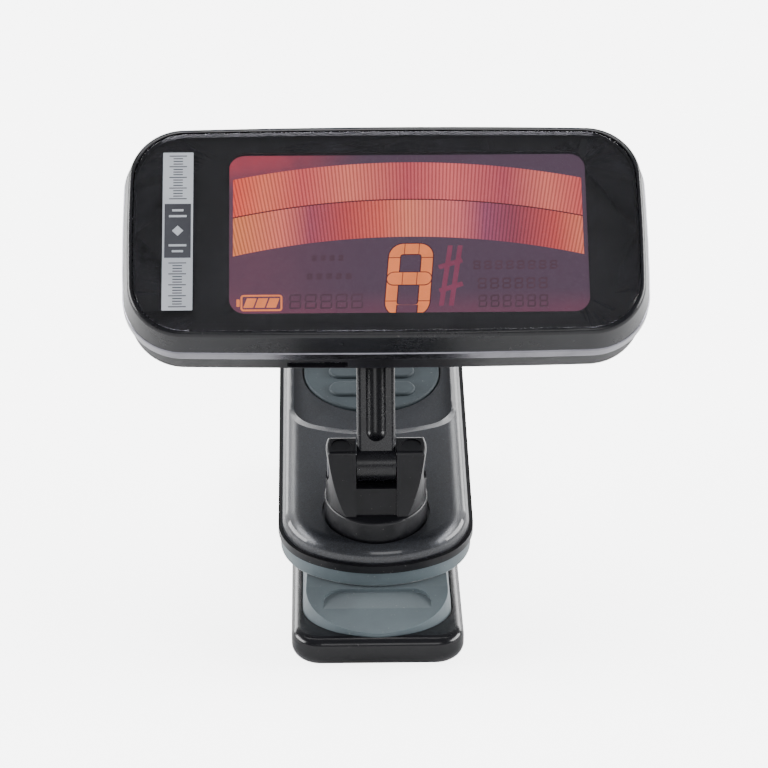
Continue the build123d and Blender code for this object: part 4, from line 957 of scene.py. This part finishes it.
bm = bmesh.new()
hollow(bm, add_plate(bm, SYMBOL_W, SYMBOL_W, corner=SYMBOL_W / 2 - 0.01), SYMBOL_LINE)
for side in (-1, 1):
    cut(bm, (side * RING_GAP, 0, 0), (1, 0, 0))
middles = {face: face.calc_center_median() for face in bm.faces}
gap = [face for face, middle in middles.items() if abs(middle.x) < RING_GAP and middle.y > 0]
bmesh.ops.delete(bm, geom=gap, context="FACES")
add_plate(bm, SYMBOL_LINE, 1.1, 0, 0.62, 0.08)
print_mark(bm, "power_symbol", "power_key", on_key("power_button"))
bm = bmesh.new()
for y in (-0.6, 0, 0.6):
    add_plate(bm, SYMBOL_W, SYMBOL_LINE, 0, y, 0.08)
print_mark(bm, "menu_symbol", "menu_key", on_key("menu_button"))
bm = bmesh.new()
add_plate(bm, 1.15, 1.15, 0, 0, 0.1, turn=pi / 4)
for side in (-1, 1):
    add_plate(bm, 0.4, 0.4, side * 1.35, 0, 0.15)
print_mark(bm, "preset_symbol", "preset_key", on_key("preset_button"))

# %% [markdown]
# The battery door is turned with a coin. A printed bar on the door points at a dot on the shell when the
# door is shut, and turns away from it as the door is freed.

# %% Battery door marks
door_low, door_high = box_in_head("battery_door", HEAD_ORIGIN)
DOOR_X = -(door_low.x + door_high.x) / 2
DOOR_Y = (door_low.z + door_high.z) / 2
DOOR_RADIUS = (door_high.x - door_low.x) / 2
DOOR_PLACE = REAR @ Matrix.Translation((DOOR_X, DOOR_Y, door_high.y))
bm = bmesh.new()
add_plate(bm, 0.4, 1.5, 0, DOOR_RADIUS - 1.5, 0.12)
print_mark(bm, "door_pointer", "door", DOOR_PLACE)
bm = bmesh.new()
add_plate(bm, 0.7, 0.7, 0, DOOR_RADIUS + 0.75, 0.34)
print_mark(bm, "shut_dot", "head", DOOR_PLACE)

# %% [markdown]
# The clamp's spring is wound wire. A circle of the wire's section is drawn out along the lower leg, spun
# round the pivot with a step sideways at each turn, and drawn out again along the upper leg. Under way
# the coil winds up between the two arms, so the finished spring blends from one to the other.

# %% Torsion spring
WIRE_R = 0.42
COIL_R = 1.68
PITCH = 1.05
LEG = 16.0
TURN_STEPS = 28
WHOLE_TURNS = 6.5
pin_low, pin_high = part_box("pivot_pin")
PIVOT_HEIGHT = (pin_low.z + pin_high.z) / 2 / MM
spring_low, spring_high = (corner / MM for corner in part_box("torsion_spring"))


def leg_slope(drop):
    """Slope of a leg whose tip stands off the pivot axis by drop."""
    return asin(drop / hypot(LEG, COIL_R)) - atan2(COIL_R, LEG)


low_slope = leg_slope(PIVOT_HEIGHT - spring_low.z - WIRE_R)
high_slope = leg_slope(spring_high.z - WIRE_R - PIVOT_HEIGHT)
turns = WHOLE_TURNS - (low_slope + high_slope) / (2 * pi)
length = turns * PITCH
steps = round(turns * TURN_STEPS)
start = Vector((length / 2, -sin(low_slope) * COIL_R, PIVOT_HEIGHT - cos(low_slope) * COIL_R))
sideways = PITCH / (2 * pi * COIL_R)
low_leg = Vector((sideways, cos(low_slope), -sin(low_slope))).normalized() * LEG
high_leg = Vector((-sideways, cos(high_slope), sin(high_slope))).normalized() * LEG
bm = bmesh.new()
wire = bmesh.ops.create_circle(bm, cap_ends=True, segments=14, radius=WIRE_R)["verts"]
bmesh.ops.transform(bm, matrix=low_leg.to_track_quat("Z", "Y").to_matrix().to_4x4(), verts=wire)
bmesh.ops.translate(bm, vec=start + low_leg, verts=wire)


def draw_out(bm, face, vector):
    """Extrudes a face along vector and returns the new face."""
    made = bmesh.ops.extrude_face_region(bm, geom=[face])["geom"]
    bmesh.ops.translate(bm, vec=vector, verts=[v for v in made if isinstance(v, bmesh.types.BMVert)])
    return [f for f in made if isinstance(f, bmesh.types.BMFace)][0]


face = draw_out(bm, bm.faces[:][0], -low_leg)
wound = bmesh.ops.spin(
    bm, geom=[face], cent=(0, 0, PIVOT_HEIGHT), axis=(-1, 0, 0), dvec=(-length / steps, 0, 0),
    angle=turns * 2 * pi, steps=steps,
)["geom_last"]
face = [f for f in wound if isinstance(f, bmesh.types.BMFace)][0]
draw_out(bm, face, high_leg)
steel = MATERIALS["spring_steel"]
spring = lay_piece(bm, "wound_spring", steel, "lower_jaw", TO_MM, smooth=True)
spring.parent = None
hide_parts("torsion_spring")
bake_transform(spring)
print("spring of", round(turns, 2), "turns, legs sloping", round(low_slope, 2), "and", round(high_slope, 2))

# %% [markdown]
# The floor is a broad pale sweep: a floor that curves up into a wall far behind, so that no horizon
# line crosses the view. The paper glows only to the eye, so it looks as white as in a bright studio and
# sheds no extra light on the object.

# %% Floor
FLOOR_W = 6.0
FLOOR_FRONT = -2.5
FLOOR_BACK = 2.5
SWEEP_R = 1.0
FLOOR_GLOW = 4.5
material, tree, shader = new_material("pale_paper")
point = object_point(tree)
paper = noise(tree, point, 60.0, 4.0)
pale = mix_colour(tree, paper, (0.90, 0.90, 0.90, 1), (0.93, 0.93, 0.93, 1))
tree.links.new(pale, shader.inputs["Base Color"])
tree.links.new(ramp(tree, paper, 0.3, 0.7, 0.8, 0.95), shader.inputs["Roughness"])
paler = mix_colour(tree, paper, (0.97, 0.97, 0.97, 1), (1, 1, 1, 1))
tree.links.new(paler, shader.inputs["Emission Color"])
seen = add_node(tree, "ShaderNodeLightPath").outputs["Is Camera Ray"]
tree.links.new(math_node(tree, "MULTIPLY", seen, FLOOR_GLOW), shader.inputs["Emission Strength"])
bm = bmesh.new()
edge = [bm.verts.new((x * FLOOR_W / 2, FLOOR_FRONT, 0)) for x in (-1, 1)]
line = bm.edges.new(edge)
flat_floor = bmesh.ops.extrude_edge_only(bm, edges=[line])["geom"]
far_corners = [item for item in flat_floor if isinstance(item, bmesh.types.BMVert)]
bmesh.ops.translate(bm, vec=(0, FLOOR_BACK - FLOOR_FRONT, 0), verts=far_corners)
last_edge = [item for item in flat_floor if isinstance(item, bmesh.types.BMEdge)]
bmesh.ops.spin(bm, geom=last_edge, cent=(0, FLOOR_BACK, SWEEP_R), axis=(1, 0, 0), angle=pi / 2, steps=16)
mesh = bpy.data.meshes.new("floor")
bm.to_mesh(mesh)
bm.free()
mesh.materials.append(material)
floor = bpy.data.objects.new("floor", mesh)
scene.collection.objects.link(floor)
print("floor", FLOOR_W, "m wide")
